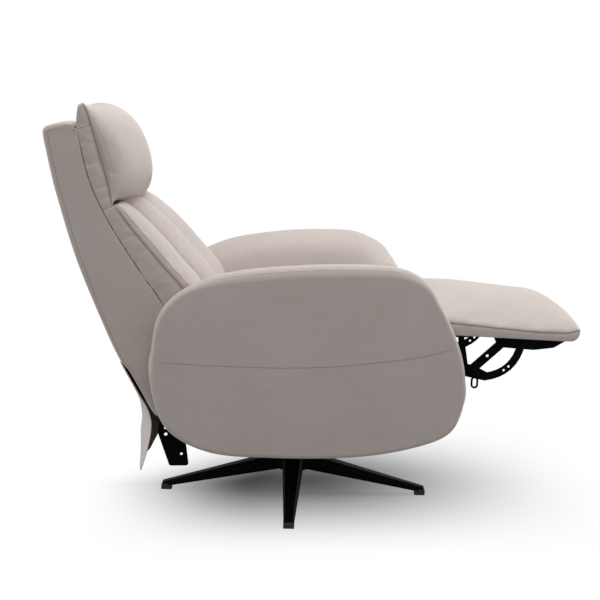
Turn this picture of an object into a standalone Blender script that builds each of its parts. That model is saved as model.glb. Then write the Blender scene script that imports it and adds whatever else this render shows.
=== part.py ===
"""Swivel recliner armchair, half reclined, with its footrest up on an open linkage.

Metres, +Z up, +X forward over the footrest, the sitter's left at +Y. Every coordinate is
measured from the swivel axis at floor level, and one empty carries the whole chair.
"""

import math

import bmesh
import bpy
from mathutils import Vector

for old in list(bpy.data.objects):
    bpy.data.objects.remove(old, do_unlink=True)

# Fits
CLEARANCE = 0.0003          # between pieces that touch
LAYER_GAP = 0.0005          # between plates that turn against each other
PIN_PLAY = 0.0003           # round a pivot pin
BORE_PLAY = 0.0004          # round a rod in its tube
SWIVEL_X = -0.0252          # swivel axis from the middle of the length

# Star base
LEG_REACH = 0.337
LEG_TURN = math.radians(-7.57)
LEG_TIP_WIDTH = 0.025
LEG_ROOT_WIDTH = 0.042
LEG_TIP_DEPTH = 0.019
LEG_ROOT_DEPTH = 0.027
LEG_ROOT_TOP = 0.086
LEG_ROOT_RADIUS = 0.032
HUB_RADIUS = 0.047
HUB_TOP = 0.093
HUB_CHAMFER = 0.005
GLIDE_RADIUS = 0.0095
GLIDE_HEIGHT = 0.005
GLIDE_INSET = 0.004

# Swivel and chassis
SPINDLE_RADIUS = 0.022
SPINDLE_FLANGE = 0.036
SPINDLE_FLANGE_HEIGHT = 0.022
COLLAR_WALL = 0.016
SWIVEL_PLATE_Z = 0.160
SWIVEL_PLATE = 0.006
SWIVEL_PLATE_LENGTH = 0.24
RAIL_Y = 0.105
RAIL_SIZE = 0.030
RAIL_OVERHANG = 0.030
CROSS_TUBE_SIZE = 0.028
TUBE_WALL = 0.0025
FRONT_TUBE_X = 0.160
REAR_TUBE_X = -0.120

# Arms
ARM_OUTER_Y = 0.390
ARM_THICKNESS = 0.125
ARM_REAR_X = -0.375
ARM_FRONT_X = 0.360
ARM_BOTTOM_Z = 0.184
ARM_TOP_Z = 0.617
ARM_CROWN = 0.016
ARM_EDGE_RADIUS = 0.016
ARM_ROLL = 0.070
ARM_CREST = 0.85
ARM_BOARD = 0.018
ARM_BOARD_REAR_X = -0.220
ARM_BOARD_FRONT_X = 0.200
ARM_BOARD_BOTTOM_Z = 0.197
ARM_BOARD_TOP_Z = 0.545

# Mechanism plates: each lies in its own layer, counted outwards from the side plates
PLATE = 0.004
MECHANISM_Y = 0.190
EYE_RADIUS = 0.0145
PIN_RADIUS = 0.0045
HEAD_RADIUS = 0.0075
HEAD_THICKNESS = 0.002
FLANGE_WIDTH = 0.025
PIVOT_Z = 0.380
FOOT_PIVOT_X = 0.285
BACK_PIVOT_X = -0.215

# Footrest linkage at rest, x and z
JOINT_J = (0.4130, 0.3570)
JOINT_K_ALONG = 0.14523      # from the footrest board's rear edge
JOINT_K_DROP = 0.01792       # below the board's underside
JOINT_L_AHEAD = 0.04602      # ahead of joint K
JOINT_L_DROP = 0.02066
JOINT_M = (0.4479, 0.3393)
CURVED_BOW = (0.5186, 0.3485)
LINK_HALF = 0.0110
CURVED_HALF = 0.0095
STOP_FOOT = (0.3980, 0.3600)
STOP_TOP_X = 0.3860
STOP_HALF = 0.0075
DRIVE_TUBE = (0.3400, 0.3630)
DRIVE_TUBE_RADIUS = 0.009
LOOP_WIRE = 0.0015
LOOP_HALF = 0.0088
LOOP_DROP = 0.024
LOOP_X = 0.4215

# Footrest
FOOT_TILT = math.radians(3.2)
BOARD_REAR = (0.345, 0.4510)
BOARD_LENGTH = 0.305
BOARD_HALF = 0.232
BOARD_THICKNESS = 0.012
PAD_REAR_LAP = 0.012
PAD_FRONT_LAP = 0.020
PAD_HALF = 0.250
PAD_BAND = 0.028
PAD_CROWN = 0.052
BRACKET_REAR = 0.022
BRACKET_FRONT = 0.300
BRACKET_FLANGE = 0.003

# Seat
RAIL_SEAT_Z = 0.366
SEAT_RAIL_HEIGHT = 0.024
SEAT_RAIL_WIDTH = 0.040
SEAT_FRONT_RAIL_X = 0.255
SEAT_REAR_RAIL_X = -0.165
SPRING_COUNT = 4
SPRING_SPACING = 0.090
SPRING_WIRE = 0.0019
SPRING_SWING = 0.022
SPRING_BENDS = 10
SEAT_REAR_X = -0.172
SEAT_FRONT_X = 0.325
SEAT_HALF = 0.252
SEAT_SIDE_HEIGHT = 0.060
SEAT_CROWN = 0.034

# Back
BACK_GAP = 0.009
SHELL_TOP_Z = 0.926
SHELL_WALL = 0.018
SHELL_HEM = 0.006
SHELL_HEM_Z = 0.310
SHELL_EDGE_RADIUS = 0.025
UPRIGHT_DEPTH = 0.024
UPRIGHT_TOP_Z = 0.885
UPRIGHT_FOOT_Z = 0.315
BACK_RAIL_SIZE = 0.024
BACK_TOP_RAIL_Z = 0.850
BACK_LUMBAR_RAIL_Z = 0.520
SECTION_RISE = math.radians(20.5)
CUSHION_FOOT_Z = 0.440
CUSHION_HEAD_Z = 0.748
CUSHION_SIDE_GAP = 0.006
BACK_PANELS = 5
CHANNEL_DEPTH = 0.010
HEADREST_TOP_Z = 0.972
HEADREST_CROWN = 0.140
HEADREST_LEAN = 0.003
HEADREST_SWELL = (
    (0.60, 0.0), (0.68, 0.1), (0.85, 0.3), (0.95, 0.5), (0.92, 0.7), (0.77, 0.85), (0.59, 0.95), (0.45, 1.0),
)
LEVER_TUBE = (-0.315, 0.265)
LEVER_TUBE_RADIUS = 0.0125
FLAP_THICKNESS = 0.004
FLAP_FOLD = 0.0025
FLAP_HALF = 0.240
FLAP_TOP_Z = 0.362
FLAP_BOTTOM_Z = 0.122

# Drives and switch
DRIVE_Y = 0.060
MOTOR_PIVOT_Z = 0.262
DRIVE_ROD_RADIUS = 0.0090
DRIVE_ROD_PLAY = 0.005
YOKE_PLAY = 0.0075
YOKE_NOTCH = 0.013
DRIVE_TUBE_OUTER = 0.0150
LUG = 0.004
LUG_SPREAD = 0.014
SWITCH_X = 0.150
SWITCH_Z = 0.500
SWITCH_LENGTH = 0.062
SWITCH_HEIGHT = 0.028
SWITCH_THICKNESS = 0.005
BUTTON_RADIUS = 0.009
BUTTON_PITCH = 0.028
BUTTON_STAND = 0.002
BUTTON_DEPTH = 0.0048

# Values that follow from those above
ARM_INNER_Y = ARM_OUTER_Y - ARM_THICKNESS
BACK_HALF = ARM_INNER_Y - BACK_GAP
RAIL_BOTTOM_Z = SWIVEL_PLATE_Z + SWIVEL_PLATE + CLEARANCE
TUBE_BOTTOM_Z = RAIL_BOTTOM_Z + RAIL_SIZE + CLEARANCE
TUBE_TOP_Z = TUBE_BOTTOM_Z + CROSS_TUBE_SIZE
SIDE_PLATE_Z = TUBE_TOP_Z + CLEARANCE
FOOT_PIVOT = (FOOT_PIVOT_X, PIVOT_Z)
BACK_PIVOT = (BACK_PIVOT_X, PIVOT_Z)
SPRING_Z = RAIL_SEAT_Z + SEAT_RAIL_HEIGHT + CLEARANCE + SPRING_WIRE
SEAT_BOTTOM_Z = SPRING_Z + SPRING_WIRE + CLEARANCE


def layer(index):
    """Inner and outer distance from the middle plane of one mechanism layer."""
    inner = MECHANISM_Y + index * (PLATE + LAYER_GAP)
    return inner, inner + PLATE


def across(side, inner, outer):
    """The span in y of something between two distances from the middle plane."""
    return (inner, outer) if side > 0 else (-outer, -inner)


def material(name, colour, roughness, metallic=0.0):
    made = bpy.data.materials.new(name)
    made.use_nodes = True
    shader = made.node_tree.nodes["Principled BSDF"]
    shader.inputs["Base Color"].default_value = (*colour, 1.0)
    shader.inputs["Roughness"].default_value = roughness
    shader.inputs["Metallic"].default_value = metallic
    made.diffuse_color = (*colour, 1.0)
    return made


LEATHER = material("leather", (0.42, 0.365, 0.315), 0.42)
LINING = material("flap leather", (0.36, 0.31, 0.27), 0.55)
BLACK = material("black paint", (0.012, 0.012, 0.013), 0.38)
PLASTIC = material("black plastic", (0.02, 0.02, 0.021), 0.5)
STEEL = material("bright steel", (0.55, 0.55, 0.56), 0.3, 1.0)
WOOD = material("plywood", (0.50, 0.35, 0.20), 0.65)

PIVOTS = {}


def pivot(name, x, z, parent=None):
    """An empty on a joint's axis, which its pieces hang from."""
    empty = bpy.data.objects.new(name, None)
    empty.empty_display_size = 0.05
    bpy.context.scene.collection.objects.link(empty)
    place = Vector((x, 0.0, z))
    if parent:
        empty.parent = bpy.data.objects[parent]
        empty.location = place - PIVOTS[parent]
    else:
        empty.location = place + Vector((SWIVEL_X, 0.0, 0.0))
    PIVOTS[name] = place


def piece(name, bm, mat, parent, sharp=38):
    bmesh.ops.recalc_face_normals(bm, faces=bm.faces)
    mesh = bpy.data.meshes.new(name)
    bm.to_mesh(mesh)
    bm.free()
    mesh.materials.append(mat)
    mesh.shade_smooth()
    mesh.set_sharp_from_angle(angle=math.radians(sharp))
    obj = bpy.data.objects.new(name, mesh)
    bpy.context.scene.collection.objects.link(obj)
    obj.parent = bpy.data.objects[parent]
    obj.location = -PIVOTS[parent]
    return obj


def combine(obj, operation, bm):
    """Joins a shape to a piece, or cuts it out, with a Boolean that stays on the piece."""
    number = len(obj.modifiers)
    tool = piece(f"{obj.name}_tool{number}", bm, obj.data.materials[0], obj.parent.name)
    tool.hide_render = True
    tool.display_type = "WIRE"
    cut = obj.modifiers.new(operation.title(), "BOOLEAN")
    cut.operation = operation
    cut.solver = "EXACT"
    cut.object = tool


def extrude(bm, outline, low, high, plane="XZ"):
    """A prism: the outline lies in the plane, and low and high are along its normal."""
    place = {
        "XZ": lambda a, b, c: (a, c, b),
        "XY": lambda a, b, c: (a, b, c),
        "YZ": lambda a, b, c: (c, a, b),
    }[plane]
    near = [bm.verts.new(place(a, b, low)) for a, b in outline]
    far = [bm.verts.new(place(a, b, high)) for a, b in outline]
    bm.faces.new(near)
    bm.faces.new(far[::-1])
    for i in range(len(outline)):
        j = (i + 1) % len(outline)
        bm.faces.new((near[j], near[i], far[i], far[j]))
    return bm


def block(bm, x0, x1, y0, y1, z0, z1):
    return extrude(bm, [(x0, y0), (x1, y0), (x1, y1), (x0, y1)], z0, z1, "XY")


def turned(bm, base, axis, profile, sides=16):
    """A turned body. The profile gives distance along the axis and radius, 0 at the poles."""
    axis = Vector(axis).normalized()
    side = axis.orthogonal().normalized()
    up = axis.cross(side)
    rings = []
    for along, radius in profile:
        centre = Vector(base) + axis * along
        if radius == 0:
            rings.append([bm.verts.new(centre)])
            continue
        ring = []
        for i in range(sides):
            angle = math.tau * i / sides
            ring.append(bm.verts.new(centre + (side * math.cos(angle) + up * math.sin(angle)) * radius))
        rings.append(ring)
    for a, b in zip(rings, rings[1:]):
        for i in range(sides):
            j = (i + 1) % sides
            if len(a) == 1:
                bm.faces.new((a[0], b[i], b[j]))
            elif len(b) == 1:
                bm.faces.new((a[j], a[i], b[0]))
            else:
                bm.faces.new((a[j], a[i], b[i], b[j]))
    return bm


def drum(bm, base, axis, length, radius, sides=16):
    return turned(bm, base, axis, [(0, 0), (0, radius), (length, radius), (length, 0)], sides)


def loft(bm, sections):
    """Closed sections with the same number of points, joined in order and capped."""
    rings = [[bm.verts.new(point) for point in section] for section in sections]
    count = len(rings[0])
    for a, b in zip(rings, rings[1:]):
        for i in range(count):
            j = (i + 1) % count
            bm.faces.new((a[i], a[j], b[j], b[i]))
    bm.faces.new(rings[0][::-1])
    bm.faces.new(rings[-1])
    return bm


def box_tube(bm, along, start, end, centre, size, wall):
    """A square tube along X or Y, open at both ends. The centre is (across, z)."""
    loops = []
    for place in (start, end):
        for half in (size / 2, size / 2 - wall):
            loop = []
            for a, b in ((-1, -1), (1, -1), (1, 1), (-1, 1)):
                level = centre[1] + b * half
                offset = centre[0] + a * half
                point = (place, offset, level) if along == "X" else (offset, place, level)
                loop.append(bm.verts.new(point))
            loops.append(loop)
    outer0, inner0, outer1, inner1 = loops
    for i in range(4):
        j = (i + 1) % 4
        bm.faces.new((outer0[i], outer0[j], outer1[j], outer1[i]))
        bm.faces.new((inner0[j], inner0[i], inner1[i], inner1[j]))
        bm.faces.new((outer0[j], outer0[i], inner0[i], inner0[j]))
        bm.faces.new((outer1[i], outer1[j], inner1[j], inner1[i]))
    return bm


def filleted(corners, steps=3):
    """An outline from corners (a, b, radius), each rounded by its own radius."""
    outline = []
    for i, (a, b, radius) in enumerate(corners):
        here = Vector((a, b))
        before = Vector(corners[i - 1][:2]) - here
        after = Vector(corners[(i + 1) % len(corners)][:2]) - here
        half = before.angle(after) / 2
        reach = min(radius / math.tan(half), 0.48 * before.length, 0.48 * after.length)
        radius = reach * math.tan(half)
        before.normalize()
        after.normalize()
        centre = here + (before + after).normalized() * (radius / math.sin(half))
        start = here + before * reach - centre
        end = here + after * reach - centre
        first = math.atan2(start.y, start.x)
        sweep = (math.atan2(end.y, end.x) - first + math.pi) % math.tau - math.pi
        for k in range(steps + 1):
            angle = first + sweep * k / steps
            outline.append((centre.x + radius * math.cos(angle), centre.y + radius * math.sin(angle)))
    return outline


def hull(circles, steps=16):
    """The outline of a band stretched round circles (a, b, radius), as for a stamped link."""
    points = set()
    for a, b, radius in circles:
        for k in range(steps):
            angle = math.tau * k / steps
            points.add((a + radius * math.cos(angle), b + radius * math.sin(angle)))
    points = sorted(points)

    def chain(ordered):
        kept = []
        for p in ordered:
            while len(kept) > 1:
                (ax, ay), (bx, by) = kept[-2], kept[-1]
                if (bx - ax) * (p[1] - ay) - (by - ay) * (p[0] - ax) > 1e-12:
                    break
                kept.pop()
            kept.append(p)
        return kept[:-1]

    return chain(points) + chain(points[::-1])


def strap(path, half, steps=6):
    """The outline of a strip of even width along a path, with round ends."""
    path = [Vector(p) for p in path]
    left, right = [], []
    for i, p in enumerate(path):
        ahead = path[min(i + 1, len(path) - 1)] - path[max(i - 1, 0)]
        normal = Vector((-ahead.y, ahead.x)).normalized()
        left.append(p + normal * half)
        right.append(p - normal * half)
    outline = list(right)
    for end, sign in ((path[-1], 1), (path[0], -1)):
        ahead = (path[-1] - path[-2]) if sign > 0 else (path[0] - path[1])
        middle = math.atan2(ahead.y, ahead.x)
        for k in range(1, steps):
            angle = middle - math.pi / 2 + math.pi * k / steps
            outline.append(end + Vector((math.cos(angle), math.sin(angle))) * half)
        if sign > 0:
            outline.extend(left[::-1])
    return [tuple(p) for p in outline]


def spline(points, steps, closed=False):
    """A smooth curve through the points, the same number of steps on each stretch."""
    points = [Vector(p) for p in points]
    count = len(points)
    curve = []
    for i in range(count if closed else count - 1):
        if closed:
            p0, p1, p2, p3 = (points[(i + k) % count] for k in (-1, 0, 1, 2))
        else:
            p0, p1, p2, p3 = (points[min(max(i + k, 0), count - 1)] for k in (-1, 0, 1, 2))
        for k in range(steps):
            t = k / steps
            curve.append(
                0.5 * (2 * p1 + (p2 - p0) * t + (2 * p0 - 5 * p1 + 4 * p2 - p3) * t * t
                       + (3 * p1 - p0 - 3 * p2 + p3) * t ** 3)
            )
    if not closed:
        curve.append(points[-1])
    return [tuple(p) for p in curve]


def at_height(curve, z):
    """The x of a rising or falling curve of (x, z) points at a height."""
    ordered = sorted(curve, key=lambda p: p[1])
    for (x0, z0), (x1, z1) in zip(ordered, ordered[1:]):
        if z <= z1:
            return x0 + (x1 - x0) * (z - z0) / (z1 - z0)
    return ordered[-1][0]


def outward(outline):
    """Unit normals of a closed outline, pointing out of it."""
    area = sum(a[0] * b[1] - b[0] * a[1] for a, b in zip(outline, outline[1:] + outline[:1]))
    sign = 1 if area > 0 else -1
    normals = []
    for i in range(len(outline)):
        a = Vector(outline[i - 1])
        b = Vector(outline[(i + 1) % len(outline)])
        normals.append(Vector(((b - a).y, -(b - a).x)).normalized() * sign)
    return normals


def pin(bm, side, x, z, first, last, head=True):
    """A rivet from the middle of one layer outwards through the last, with its head beyond."""
    start = sum(layer(first)) / 2
    end = layer(last)[1] + CLEARANCE
    profile = [(0, 0), (0, PIN_RADIUS), (end - start, PIN_RADIUS)]
    if head:
        profile += [(end - start, HEAD_RADIUS), (end - start + HEAD_THICKNESS, HEAD_RADIUS * 0.8)]
        profile += [(end - start + HEAD_THICKNESS, 0)]
    else:
        profile += [(end - start, 0)]
    return turned(bm, (x, side * start, z), (0, side, 0), profile, 10)


def pin_hole(bm, side, x, z, index, radius=None):
    inner, outer = layer(index)
    radius = radius or PIN_RADIUS + PIN_PLAY
    return drum(bm, (x, side * (inner - 0.002), z), (0, side, 0), PLATE + 0.004, radius, 12)


SIDES = ((1, "left"), (-1, "right"))

# Footrest frame of reference: u runs along the board from its rear edge, w is square to it.
along = Vector((math.cos(FOOT_TILT), -math.sin(FOOT_TILT)))
square = Vector((math.sin(FOOT_TILT), math.cos(FOOT_TILT)))


def foot_point(u, w):
    return Vector(BOARD_REAR) + along * u + square * w


def foot_local(place):
    offset = Vector(place) - Vector(BOARD_REAR)
    return offset.dot(along), offset.dot(square)


JOINT_K = tuple(foot_point(JOINT_K_ALONG, -JOINT_K_DROP))
JOINT_L = tuple(foot_point(JOINT_K_ALONG + JOINT_L_AHEAD, -JOINT_L_DROP))
pivot("recliner", 0, 0)
pivot("swivel_axis", 0, 0, "recliner")
pivot("recline_axis", *BACK_PIVOT, "swivel_axis")
pivot("foot_axis", *FOOT_PIVOT, "swivel_axis")
pivot("upper_link_axis", *JOINT_J, "foot_axis")
pivot("footrest_axis", *JOINT_K, "upper_link_axis")
pivot("curved_link_axis", *JOINT_L, "footrest_axis")

# Star base: a turned hub with four tapered legs, cast in one piece.
hub_foot = LEG_ROOT_TOP - LEG_ROOT_DEPTH + 0.002
star = piece(
    "star_base",
    turned(
        bmesh.new(), (0, 0, hub_foot), (0, 0, 1),
        [(0, 0), (0, HUB_RADIUS - HUB_CHAMFER), (HUB_CHAMFER, HUB_RADIUS),
         (HUB_TOP - HUB_CHAMFER - hub_foot, HUB_RADIUS), (HUB_TOP - hub_foot, HUB_RADIUS - HUB_CHAMFER),
         (HUB_TOP - hub_foot, 0)],
        28,
    ),
    BLACK, "recliner",
)
legs = bmesh.new()
for quarter in range(4):
    turn = LEG_TURN + quarter * math.pi / 2
    ahead = Vector((math.cos(turn), math.sin(turn), 0))
    sideways = Vector((-ahead.y, ahead.x, 0))
    sections = []
    for share, narrow in ((0, 1), (0.3, 1), (0.6, 1), (0.9, 1), (0.965, 0.92), (1, 0.55)):
        reach = LEG_ROOT_RADIUS + (LEG_REACH - LEG_ROOT_RADIUS) * share
        half = (LEG_ROOT_WIDTH + (LEG_TIP_WIDTH - LEG_ROOT_WIDTH) * share) / 2 * narrow
        depth = LEG_ROOT_DEPTH + (LEG_TIP_DEPTH - LEG_ROOT_DEPTH) * share
        top = LEG_ROOT_TOP + (GLIDE_HEIGHT + LEG_TIP_DEPTH - LEG_ROOT_TOP) * share
        top -= 0.005 * (1 - narrow)
        depth -= 0.005 * (1 - narrow)
        shape = ((-0.8, 0), (0.8, 0), (1, 0.2), (1, 0.72), (0.72, 1), (-0.72, 1), (-1, 0.72), (-1, 0.2))
        sections.append(
            [ahead * reach + sideways * half * a + Vector((0, 0, top - depth + depth * b)) for a, b in shape]
        )
    loft(legs, sections)
combine(star, "UNION", legs)

# Floor glides: turned plastic feet under the leg tips.
for quarter, word in enumerate(("front", "left", "rear", "right")):
    turn = LEG_TURN + quarter * math.pi / 2
    reach = LEG_REACH - GLIDE_RADIUS - GLIDE_INSET
    drop = (LEG_ROOT_TOP - LEG_ROOT_DEPTH - GLIDE_HEIGHT) / (LEG_REACH - LEG_ROOT_RADIUS)
    under = GLIDE_HEIGHT + drop * (LEG_REACH - reach - GLIDE_RADIUS)
    glide = turned(
        bmesh.new(), (reach * math.cos(turn), reach * math.sin(turn), 0), (0, 0, 1),
        [(0, 0), (0, GLIDE_RADIUS * 0.9), (0.002, GLIDE_RADIUS), (under - CLEARANCE, GLIDE_RADIUS),
         (under - CLEARANCE, 0)],
    )
    piece(f"floor_glide_{word}", glide, PLASTIC, "recliner")

# Spindle: stands on the hub, its flange takes the weight of the turning chair.
spindle_foot = HUB_TOP + CLEARANCE
spindle_length = SWIVEL_PLATE_Z - CLEARANCE - spindle_foot
piece(
    "spindle",
    turned(
        bmesh.new(), (0, 0, spindle_foot), (0, 0, 1),
        [(0, 0), (0, SPINDLE_FLANGE), (SPINDLE_FLANGE_HEIGHT, SPINDLE_FLANGE),
         (SPINDLE_FLANGE_HEIGHT, SPINDLE_RADIUS), (spindle_length, SPINDLE_RADIUS), (spindle_length, 0)],
        24,
    ),
    STEEL, "recliner",
)

# Swivel plate: a steel plate with the bearing collar that runs on the spindle.
plate_x = SWIVEL_PLATE_LENGTH / 2
plate_y = RAIL_Y + RAIL_SIZE / 2 + 0.010
swivel = piece(
    "swivel_plate",
    extrude(
        bmesh.new(),
        filleted([(-plate_x, -plate_y, 0.03), (plate_x, -plate_y, 0.03), (plate_x, plate_y, 0.03),
                  (-plate_x, plate_y, 0.03)]),
        SWIVEL_PLATE_Z, SWIVEL_PLATE_Z + SWIVEL_PLATE, "XY",
    ),
    BLACK, "swivel_axis",
)
collar_z = spindle_foot + SPINDLE_FLANGE_HEIGHT + CLEARANCE
collar = drum(
    bmesh.new(), (0, 0, collar_z), (0, 0, 1), SWIVEL_PLATE_Z + SWIVEL_PLATE / 2 - collar_z,
    SPINDLE_RADIUS + COLLAR_WALL, 24,
)
combine(swivel, "UNION", collar)
bore = drum(
    bmesh.new(), (0, 0, collar_z - 0.01), (0, 0, 1), SWIVEL_PLATE_Z - collar_z + 0.01,
    SPINDLE_RADIUS + CLEARANCE, 24,
)
combine(swivel, "DIFFERENCE", bore)

# Chassis: two rails on the plate and two cross tubes that reach the arms.
for side, word in SIDES:
    rail = box_tube(
        bmesh.new(), "X", REAR_TUBE_X - RAIL_OVERHANG, FRONT_TUBE_X + RAIL_OVERHANG,
        (side * RAIL_Y, RAIL_BOTTOM_Z + RAIL_SIZE / 2), RAIL_SIZE, TUBE_WALL,
    )
    piece(f"chassis_rail_{word}", rail, BLACK, "swivel_axis")

tube_reach = ARM_INNER_Y - CLEARANCE
tube_z = TUBE_BOTTOM_Z + CROSS_TUBE_SIZE / 2
front_tube = piece(
    "front_cross_tube",
    box_tube(bmesh.new(), "Y", -tube_reach, tube_reach, (FRONT_TUBE_X, tube_z), CROSS_TUBE_SIZE, TUBE_WALL),
    BLACK, "swivel_axis",
)
lugs = bmesh.new()
for sign in (-1, 1):
    middle = DRIVE_Y + sign * LUG_SPREAD / 2
    outline = hull([(FRONT_TUBE_X, MOTOR_PIVOT_Z, 0.010), (FRONT_TUBE_X - 0.006, TUBE_TOP_Z, 0.004),
                    (FRONT_TUBE_X + 0.006, TUBE_TOP_Z, 0.004)], 12)
    extrude(lugs, [(x, max(z, TUBE_TOP_Z - 0.0015)) for x, z in outline], middle - LUG / 2, middle + LUG / 2)
combine(front_tube, "UNION", lugs)
lug_pin = drum(
    bmesh.new(), (FRONT_TUBE_X, DRIVE_Y - LUG_SPREAD / 2, MOTOR_PIVOT_Z), (0, 1, 0), LUG_SPREAD,
    PIN_RADIUS, 12,
)
combine(front_tube, "UNION", lug_pin)
piece(
    "rear_cross_tube",
    box_tube(bmesh.new(), "Y", -tube_reach, tube_reach, (REAR_TUBE_X, tube_z), CROSS_TUBE_SIZE, TUBE_WALL),
    BLACK, "swivel_axis",
)

# Mechanism side plates: flanged steel plates with an eye for the footrest and one for the back.
for side, word in SIDES:
    inner, outer = layer(0)
    top = PIVOT_Z + EYE_RADIUS
    low = PIVOT_Z - EYE_RADIUS - 0.003
    rear = BACK_PIVOT_X - EYE_RADIUS
    front = FOOT_PIVOT_X + EYE_RADIUS
    waist = top - 0.022
    outline = filleted([
        (REAR_TUBE_X - 0.075, SIDE_PLATE_Z, 0.010), (FRONT_TUBE_X + 0.040, SIDE_PLATE_Z, 0.020),
        (FRONT_TUBE_X + 0.040, low - 0.030, 0.025), (FRONT_TUBE_X + 0.072, low, 0.015),
        (front, low, EYE_RADIUS), (front, top, EYE_RADIUS), (front - 0.050, top, 0.010),
        (front - 0.075, waist, 0.010), (rear + 0.070, waist, 0.010), (rear + 0.045, top, 0.010),
        (rear, top, EYE_RADIUS), (rear, low, EYE_RADIUS), (REAR_TUBE_X - 0.075, low - 0.030, 0.020),
    ])
    plate = piece(
        f"side_plate_{word}", extrude(bmesh.new(), outline, *across(side, inner, outer)), BLACK, "swivel_axis"
    )
    flanges = bmesh.new()
    span = across(side, inner - FLANGE_WIDTH, inner + PLATE / 2)
    block(flanges, SEAT_REAR_RAIL_X - 0.030, SEAT_FRONT_RAIL_X + 0.025, *span,
          RAIL_SEAT_Z - CLEARANCE - PLATE * 0.8, RAIL_SEAT_Z - CLEARANCE)
    block(flanges, REAR_TUBE_X - 0.060, FRONT_TUBE_X + 0.020, *span, SIDE_PLATE_Z, SIDE_PLATE_Z + PLATE * 0.8)
    combine(plate, "UNION", flanges)
    pins = bmesh.new()
    pin(pins, side, *FOOT_PIVOT, 0, 1)
    pin(pins, side, *BACK_PIVOT, 0, 1)
    combine(plate, "UNION", pins)
    holes = bmesh.new()
    middle = (SIDE_PLATE_Z + low) / 2
    for x in (REAR_TUBE_X + 0.055, (REAR_TUBE_X + FRONT_TUBE_X) / 2 + 0.005, FRONT_TUBE_X - 0.045):
        pin_hole(holes, side, x, middle, 0, 0.022)
    combine(plate, "DIFFERENCE", holes)

# Arms: an upholstered body over a plywood board, which slides in from below. Its top rolls over
# to the inner face.
ARM_SHAPE = (
    (0.825, 0.985), (0.752, 1.001), (0.550, 0.998), (0.375, 0.982), (0.217, 0.930), (0.078, 0.783),
    (0.005, 0.592), (0.003, 0.407), (0.052, 0.169), (0.184, 0.039), (0.376, 0.004), (0.627, 0.001),
    (0.818, 0.043), (0.954, 0.130), (0.996, 0.308), (0.986, 0.527), (0.912, 0.822), (0.865, 0.943),
)
arm_outline = [
    (ARM_REAR_X + u * (ARM_FRONT_X - ARM_REAR_X), ARM_BOTTOM_Z + v * (ARM_TOP_Z - ARM_BOTTOM_Z))
    for u, v in spline(ARM_SHAPE, 3, closed=True)
]
arm_normals = outward(arm_outline)
arm_waist = (ARM_BOTTOM_Z + ARM_TOP_Z) / 2
for side, word in SIDES:
    sections = []
    for share in (0.0, 0.03, 0.07, 0.125, 0.25, 0.43, 0.63, 0.80, 0.88, 0.95, 1.0):
        distance = ARM_INNER_Y + ARM_THICKNESS * share
        turned_in = max(1 - share / ARM_CREST, 0)
        roll = ARM_ROLL * (1 - math.sqrt(1 - turned_in ** 2))
        edge = min(share, 1 - share) * ARM_THICKNESS
        round_in = 0.0
        if edge < ARM_EDGE_RADIUS:
            round_in = ARM_EDGE_RADIUS - math.sqrt(ARM_EDGE_RADIUS ** 2 - (ARM_EDGE_RADIUS - edge) ** 2)
        swell = ARM_CROWN * (1 - (2 * share - 1) ** 4)
        section = []
        for (x, z), normal in zip(arm_outline, arm_normals):
            height = (z - ARM_BOTTOM_Z) / (ARM_TOP_Z - ARM_BOTTOM_Z)
            upper = min(max((height - 0.5) / 0.4, 0), 1)
            push = swell * (0.2 + 0.8 * upper) - round_in
            inward = Vector((min(max(x, ARM_BOARD_REAR_X), ARM_BOARD_FRONT_X) - x, arm_waist - z)).normalized()
            section.append((
                x + normal.x * push + inward.x * roll * upper, side * distance,
                z + normal.y * push + inward.y * roll * upper,
            ))
        sections.append(section)
    cover = piece(f"arm_cover_{word}", loft(bmesh.new(), sections), LEATHER, "swivel_axis")
    middle = ARM_INNER_Y + ARM_THICKNESS / 2
    slot = [
        (ARM_BOARD_REAR_X - CLEARANCE, ARM_BOTTOM_Z - 0.05), (ARM_BOARD_FRONT_X + CLEARANCE, ARM_BOTTOM_Z - 0.05),
        (ARM_BOARD_FRONT_X + CLEARANCE, ARM_BOARD_TOP_Z + CLEARANCE),
        (ARM_BOARD_REAR_X - CLEARANCE, ARM_BOARD_TOP_Z + CLEARANCE),
    ]
    half = ARM_BOARD / 2 + CLEARANCE
    combine(cover, "DIFFERENCE", extrude(bmesh.new(), slot, *across(side, middle - half, middle + half)))
    board = filleted([
        (ARM_BOARD_REAR_X, ARM_BOARD_BOTTOM_Z, 0.03), (ARM_BOARD_FRONT_X, ARM_BOARD_BOTTOM_Z, 0.03),
        (ARM_BOARD_FRONT_X, ARM_BOARD_TOP_Z, 0.06), (ARM_BOARD_REAR_X, ARM_BOARD_TOP_Z, 0.09),
    ])
    half = ARM_BOARD / 2
    piece(
        f"arm_board_{word}", extrude(bmesh.new(), board, *across(side, middle - half, middle + half)),
        WOOD, "swivel_axis",
    )

# Seat frame: two wooden rails between the side plates, with sinuous springs from one to the other.
rail_half = MECHANISM_Y - CLEARANCE
for x, word in ((SEAT_FRONT_RAIL_X, "front"), (SEAT_REAR_RAIL_X, "rear")):
    half = SEAT_RAIL_WIDTH / 2
    rail = extrude(
        bmesh.new(),
        filleted([(x - half, RAIL_SEAT_Z, 0.002), (x + half, RAIL_SEAT_Z, 0.002),
                  (x + half, RAIL_SEAT_Z + SEAT_RAIL_HEIGHT, 0.004),
                  (x - half, RAIL_SEAT_Z + SEAT_RAIL_HEIGHT, 0.004)], 2),
        -rail_half, rail_half,
    )
    rail = piece(f"seat_{word}_rail", rail, WOOD, "swivel_axis")
    if word == "front":
        notch = bmesh.new()
        block(notch, x - SEAT_RAIL_WIDTH, x + SEAT_RAIL_WIDTH, -DRIVE_Y - 0.009, -DRIVE_Y + 0.009,
              RAIL_SEAT_Z - 0.02, RAIL_SEAT_Z + YOKE_NOTCH)
        combine(rail, "DIFFERENCE", notch)


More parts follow.
